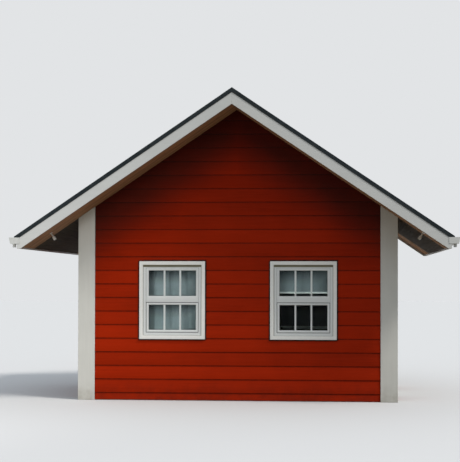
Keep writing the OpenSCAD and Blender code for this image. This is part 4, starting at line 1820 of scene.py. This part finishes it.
@dataclass(frozen=True)
class Door:
    """The side door: casing, panelled leaf, hinges and a lever handle on a rose."""

    width: float = 0.820
    height: float = 2.0
    rail: float = 0.105
    sink: float = 0.008
    bed: float = 0.001
    rows: int = 3
    moulding: float = 0.022
    moulding_lap: float = 0.0004
    field_gap: float = 0.02
    field_bevel: float = 0.030
    field_sink: float = 0.0015
    handle_up: float = 1.0
    rose_radius: float = 0.026
    rose: float = 0.008
    keyhole_drop: float = 0.075
    lever_radius: float = 0.0095
    lever_reach: float = 0.035
    lever_length: float = 0.110
    bend: float = 0.012
    hinge_radius: float = 0.006
    hinge_half: float = 0.045
    hinge_end: float = 0.2
    hinge_out: float = 0.004
    hinge_aside: float = 0.001
    casing_arris: float = 0.003
    leaf_arris: float = 0.002
    handle_arris: float = 0.001

    @property
    def face(self) -> float:
        """Outer face of the leaf."""
        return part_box("door_leaf")[1].x

    def panels(self) -> list[Rectangle]:
        """The sunk panels of the leaf.

        Returns:
            The panels from the lowest up.
        """
        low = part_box("door_leaf")[0].z
        high = (self.height - (self.rows + 1) * self.rail) / self.rows
        half = self.width / 2 - self.rail
        bases = low + self.rail + np.arange(self.rows) * (high + self.rail)
        return [Rectangle(-half, half, base, base + high) for base in bases]

    def mouldings(self) -> Shape:
        """An ogee strip round each panel and a fielded middle with bevelled edges.

        Returns:
            The mouldings of all panels, in place.
        """
        width, bevel, top, face = self.moulding, self.field_bevel, self.field_sink, self.face
        seat, turn = self.sink + self.bed, np.linspace(0, 1, 6)
        wave = self.sink * (0.15 + 0.85 * (1 - np.cos(turn * np.pi)) / 2)
        ogee = np.stack([np.zeros(6), turn * width, wave], -1)
        strip = np.concatenate([ogee, [[0, width, seat], [0, 0, seat]]])
        edge = [
            [0, 0, seat], [0, 0, self.sink - 0.0005], [0, bevel - 0.002, top + 0.0005], [0, bevel, top],
            [0, bevel, seat],
        ]
        parts = []
        for panel in self.panels():
            raised = panel.grown(-width - self.field_gap)
            inner = raised.grown(-bevel)
            parts += [
                bordered(panel.grown(self.moulding_lap), panel, strip, face),
                bordered(raised, raised, edge, face),
                box((inner.left, inner.right), (face - seat, face - top), (inner.low, inner.high)),
            ]
        return joined(parts).moved(Side.RIGHT.place)

    def hinges(self) -> Shape:
        """Three barrels with round tips in the joint between leaf and lining.

        Returns:
            The barrels in place.
        """
        radius, half, third = self.hinge_radius, self.hinge_half, self.hinge_half / 3
        profile = np.array([
            [0.002, -half - 0.004], [radius * 0.8, -half - 0.002], [radius, -half], [radius, -third],
            [radius * 0.9, -third + 0.001], [radius, -third + 0.002], [radius, third],
            [radius * 0.9, third + 0.001], [radius, third + 0.002], [radius, half],
            [radius * 0.8, half + 0.002], [0.002, half + 0.004],
        ])
        low, high = self.hinge_end, self.height - self.hinge_end
        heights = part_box("door_leaf")[0].z + np.array([low, self.height / 2, high])
        out, along = self.face + self.hinge_out, self.width / 2 + self.hinge_aside
        places = np.stack([np.full(3, out), np.full(3, along), heights], -1)
        return repeated(lathed(profile, np.zeros(3), Z_WAY, sides=16), places)

    def handle(self) -> Shape:
        """A turned rose and keyhole plate, and a round lever bent once towards the hinges.

        Returns:
            The handle in place.
        """
        y, z = -self.width / 2 + self.rail / 2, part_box("floor_slab")[1].z + self.handle_up
        radius, thick, face = self.rose_radius, self.rose, self.face
        rim = [[radius, 0], [radius, thick - 0.002], [radius - 0.002, thick]]
        boss = [[0.0125, thick], [0.012, thick + 0.004], [0.002, thick + 0.004]]
        rose = lathed(np.array(rim + boss), np.array([face, y, z]), X_WAY)
        plate = lathed(np.array(rim + [[0.003, thick]]), np.array([face, y, z - self.keyhole_drop]), X_WAY)
        turn, reach = np.linspace(0, np.pi / 2, 8), face + self.lever_reach
        out, along = reach - self.bend * (1 - np.sin(turn)), y + self.bend * (1 - np.cos(turn))
        corner = np.stack([out, along, np.full(8, z)], -1)
        path = np.concatenate([[[face + thick, y, z]], corner, [[reach, y + self.lever_length, z]]])
        step = np.gradient(path, axis=0)
        step /= np.linalg.norm(step, axis=1, keepdims=True)
        ring = np.linspace(0, 2 * np.pi, 20, endpoint=False)
        outline = self.lever_radius * np.stack([np.cos(ring), np.sin(ring)], -1)
        return joined([rose, plate, carried(outline, path, np.cross(step, Z_WAY), Z_WAY)])

    def build(self) -> None:
        """Builds the door's pieces."""
        eased_node("door_casing", TRIM, self.casing_arris)
        eased_node("door_leaf", DOOR_PAINT, self.leaf_arris)
        piece("door_panel_mouldings", self.mouldings(), DOOR_PAINT)
        piece("door_hinge_barrels", self.hinges(), STEEL)
        nodes = ["door_handle"]
        piece("door_lever_set", self.handle(), STEEL, nodes, self.handle_arris)


def background_share(sheet: NodeSheet) -> Socket:
    """1 for rays that show the background: the camera's, and those through or off glass.

    Args:
        sheet: The nodes of the floor or the world.

    Returns:
        The share.
    """
    path = sheet.add("LightPath").outputs
    seen = sheet.maths("MAXIMUM", path["Is Camera Ray"], path["Is Transmission Ray"])
    return sheet.maths("MAXIMUM", seen, path["Is Glossy Ray"])


def hang_lamp(name: str, kind: str, place: Vector, aim: Vector, **settings: object) -> Object:
    """Hangs a lamp.

    Args:
        name: The lamp's name.
        kind: SUN or AREA.
        place: Where it hangs.
        aim: The point that it shines at.
        settings: Properties of its light.

    Returns:
        The lamp.
    """
    data = bpy.data.lights.new(name, kind)
    for setting, value in settings.items():
        setattr(data, setting, value)
    lamp = bpy.data.objects.new(name, data)
    lamp.rotation_euler = (place - aim).to_track_quat("Z", "Y").to_euler()
    lamp.location = place
    bpy.context.scene.collection.objects.link(lamp)
    return lamp


@dataclass(frozen=True)
class Studio:
    """Camera at the photograph's place, pale floor, soft key lamp and a pale surround."""

    camera: Triple = (1.554, -17.722, 1.841)
    yaw: float = 3.78
    pitch: float = 0.81
    roll: float = 0.101
    focal_pixels: float = 1051.7
    frame_pixels: float = 462.0
    sensor: float = 36.0
    shift: Span = (-0.08, 0.08)
    far: float = 300.0
    floor_radius: float = 90.0
    floor_sides: int = 96
    floor_drop: float = 0.0005
    floor_seen: Colour = srgb(189, 189, 188)
    floor_bounce: Colour = srgb(106, 100, 86)
    surround: Colour = srgb(226, 228, 230)
    sky: Colour = srgb(226, 234, 244)
    sky_rise: Span = (0.1, 0.6)
    sky_levels: Span = (0.37, 1.15)
    sky_lean: Span = (0.85, 1.2)
    key_from: Triple = (0.579, -0.264, 0.771)
    key_distance: float = 20.0
    key_strength: float = 2.75
    key_angle: float = 14.0
    key_colour: Triple = (1.0, 0.96, 0.91)
    fill_place: Triple = (-5.2, -9.0, 1.3)
    fill_aim: Triple = (-2.2, -1.4, 1.0)
    fill_size: float = 2.4
    fill_spread: float = 60.0
    fill_watts: float = 31.5

    def place_camera(self) -> None:
        """Turns the camera by yaw to the left, then pitch upwards, then roll."""
        data = bpy.data.cameras.new("viewpoint")
        data.sensor_width = self.sensor
        data.lens = self.focal_pixels / self.frame_pixels * self.sensor
        data.shift_x, data.shift_y = self.shift
        data.clip_end = self.far
        yaw, pitch, roll = (math.radians(angle) for angle in (self.yaw, self.pitch, self.roll))
        ahead = Vector((-math.sin(yaw) * math.cos(pitch), math.cos(yaw) * math.cos(pitch), math.sin(pitch)))
        level = Vector((math.cos(yaw), math.sin(yaw), 0))
        upright = level.cross(ahead)
        right = level * math.cos(roll) + upright * math.sin(roll)
        up = upright * math.cos(roll) - level * math.sin(roll)
        viewer = bpy.data.objects.new("viewpoint", data)
        turn = Matrix((right, up, -ahead)).transposed().to_4x4()
        viewer.matrix_world = Matrix.Translation(self.camera) @ turn
        bpy.context.scene.collection.objects.link(viewer)
        bpy.context.scene.camera = viewer

    def lay_floor(self) -> None:
        """A wide round floor just under the hut."""
        turn = np.linspace(0, 2 * np.pi, self.floor_sides, endpoint=False)
        x, y = self.floor_radius * np.cos(turn), self.floor_radius * np.sin(turn)
        ring = np.stack([x, y, np.full_like(x, -self.floor_drop)], -1)
        mesh = bpy.data.meshes.new("studio_floor")
        mesh.from_pydata(ring.tolist(), [], [list(range(self.floor_sides))])
        made = bpy.data.objects.new("studio_floor", mesh)
        bpy.context.scene.collection.objects.link(made)
        material = bpy.data.materials.new("pale_floor")
        sheet = NodeSheet.of(material)
        colour = sheet.mix(background_share(sheet), self.floor_bounce, self.floor_seen)
        matt = sheet.add("BsdfDiffuse", {"Color": colour})
        sheet.add("OutputMaterial", {"Surface": matt.outputs[0]})
        mesh.materials.append(material)

    def hang_lamps(self) -> None:
        """A soft distant key from the upper right, which grazes the gable, and a near left fill."""
        hang_lamp(
            "key", "SUN", Vector(self.key_from) * self.key_distance, Vector(), color=self.key_colour,
            energy=self.key_strength, angle=math.radians(self.key_angle),
        )
        fill = hang_lamp(
            "fill", "AREA", Vector(self.fill_place), Vector(self.fill_aim), energy=self.fill_watts,
            size=self.fill_size, spread=math.radians(self.fill_spread),
        )
        fill.visible_glossy = False

    def surround_world(self) -> None:
        """A pale surround for the camera, and a sky that is dim near the ground and leans right."""
        world = bpy.data.worlds.new("studio_world")
        bpy.context.scene.world = world
        sheet = NodeSheet.of(world)
        shown = sheet.add("Background", {"Color": self.surround, "Strength": 1.0})
        aim = sheet.add("SeparateXYZ", {0: sheet.add("TexCoord").outputs["Generated"]}).outputs
        level = sheet.span(aim["Z"], self.sky_rise, self.sky_levels)
        strength = sheet.times(level, sheet.span(aim["X"], (-1.0, 1.0), self.sky_lean))
        light = sheet.add("Background", {"Color": self.sky, "Strength": strength})
        share = background_share(sheet)
        both = sheet.add("MixShader", {0: share, 1: light.outputs[0], 2: shown.outputs[0]})
        sheet.add("OutputWorld", {"Surface": both.outputs[0]})

    def build(self) -> None:
        """Sets up the view, the floor, the lamps and the surround."""
        bpy.context.scene.view_settings.view_transform = "Standard"
        self.place_camera()
        self.lay_floor()
        self.hang_lamps()
        self.surround_world()


def build_siding(m: Measures, gap: float = 0.002) -> None:
    """Clads the four walls, leaving out windows and door with a small gap round them.

    Args:
        m: The hut's measures.
        gap: Width of the gap.
    """
    half, flank = (edge - m.corner_w - gap for edge in (m.half_w, m.half_d))
    for side, seed in {Side.FRONT: 40, Side.REAR: 41}.items():
        holes = tuple(window.rect().grown(gap) for window in gable_windows(side))
        LapSiding(side, m.core_y, half, m.roof.apex - 3 * gap, holes, seed, m.roof).build()
    low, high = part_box("door_casing")
    underground = -1.0
    doorway = Rectangle(low.y - gap, high.y + gap, underground, high.z + gap)
    top = m.roof.height(m.core_x + LapSiding.butt, 0.0) - gap / 2
    for side, holes, seed in ((Side.RIGHT, (doorway,), 50), (Side.LEFT, (), 51)):
        LapSiding(side, m.core_x, flank, top, holes, seed).build()


def build_blinds(m: Measures) -> None:
    """Hangs the four blinds: all down, but the front right one, which stops higher.

    Args:
        m: The hut's measures.
    """
    left, right = gable_windows(Side.FRONT)
    rear_right, rear_left = gable_windows(Side.REAR)
    full = left.frame_rect().low + LOWERED_EDGE
    half = right.sash_rects()[0].low + right.upper_meeting + RAISED_EDGE
    hung = {
        "front_left": (left, full, ("front_left_blind",)),
        "front_right": (right, half, ("front_right_blind",)),
        "rear_left": (rear_left, full, ("rear_blinds",)),
        "rear_right": (rear_right, full, ()),
    }
    for number, (name, (window, edge, nodes)) in enumerate(hung.items()):
        RollerBlind(f"{name}_blind", window, edge, m.room_y, nodes, 1 + number).build()


def dress_structure() -> None:
    """Gives the walls, slab, rafters and decks, which stay as modelled, their finishes."""
    finishes = {
        "floor_slab": SLAB, "front_wall": LINING, "rear_wall": LINING, "left_wall": LINING,
        "right_wall": LINING, "ridge_board": DECK_WOOD, "rafters": FRAME_TIMBER,
        "left_roof_deck": DECK_WOOD, "right_roof_deck": DECK_WOOD,
    }
    for node, finish in finishes.items():
        dress_node(node, finish)


def main() -> None:
    """Builds the hut's sub-assemblies in order, then the studio round it."""
    logging.basicConfig(level=logging.INFO, format="%(message)s")
    m = Measures.from_model()
    dress_structure()
    build_siding(m)
    CornerBoards(m).build()
    SoffitBoards(m).build()
    Shingles(m).build()
    RoofEdges(m).build()
    EaveLamps(m).build()
    for side in (Side.FRONT, Side.REAR):
        window_row(side)
    build_blinds(m)
    Door().build()
    Studio().build()


if __name__ == "__main__":
    main()
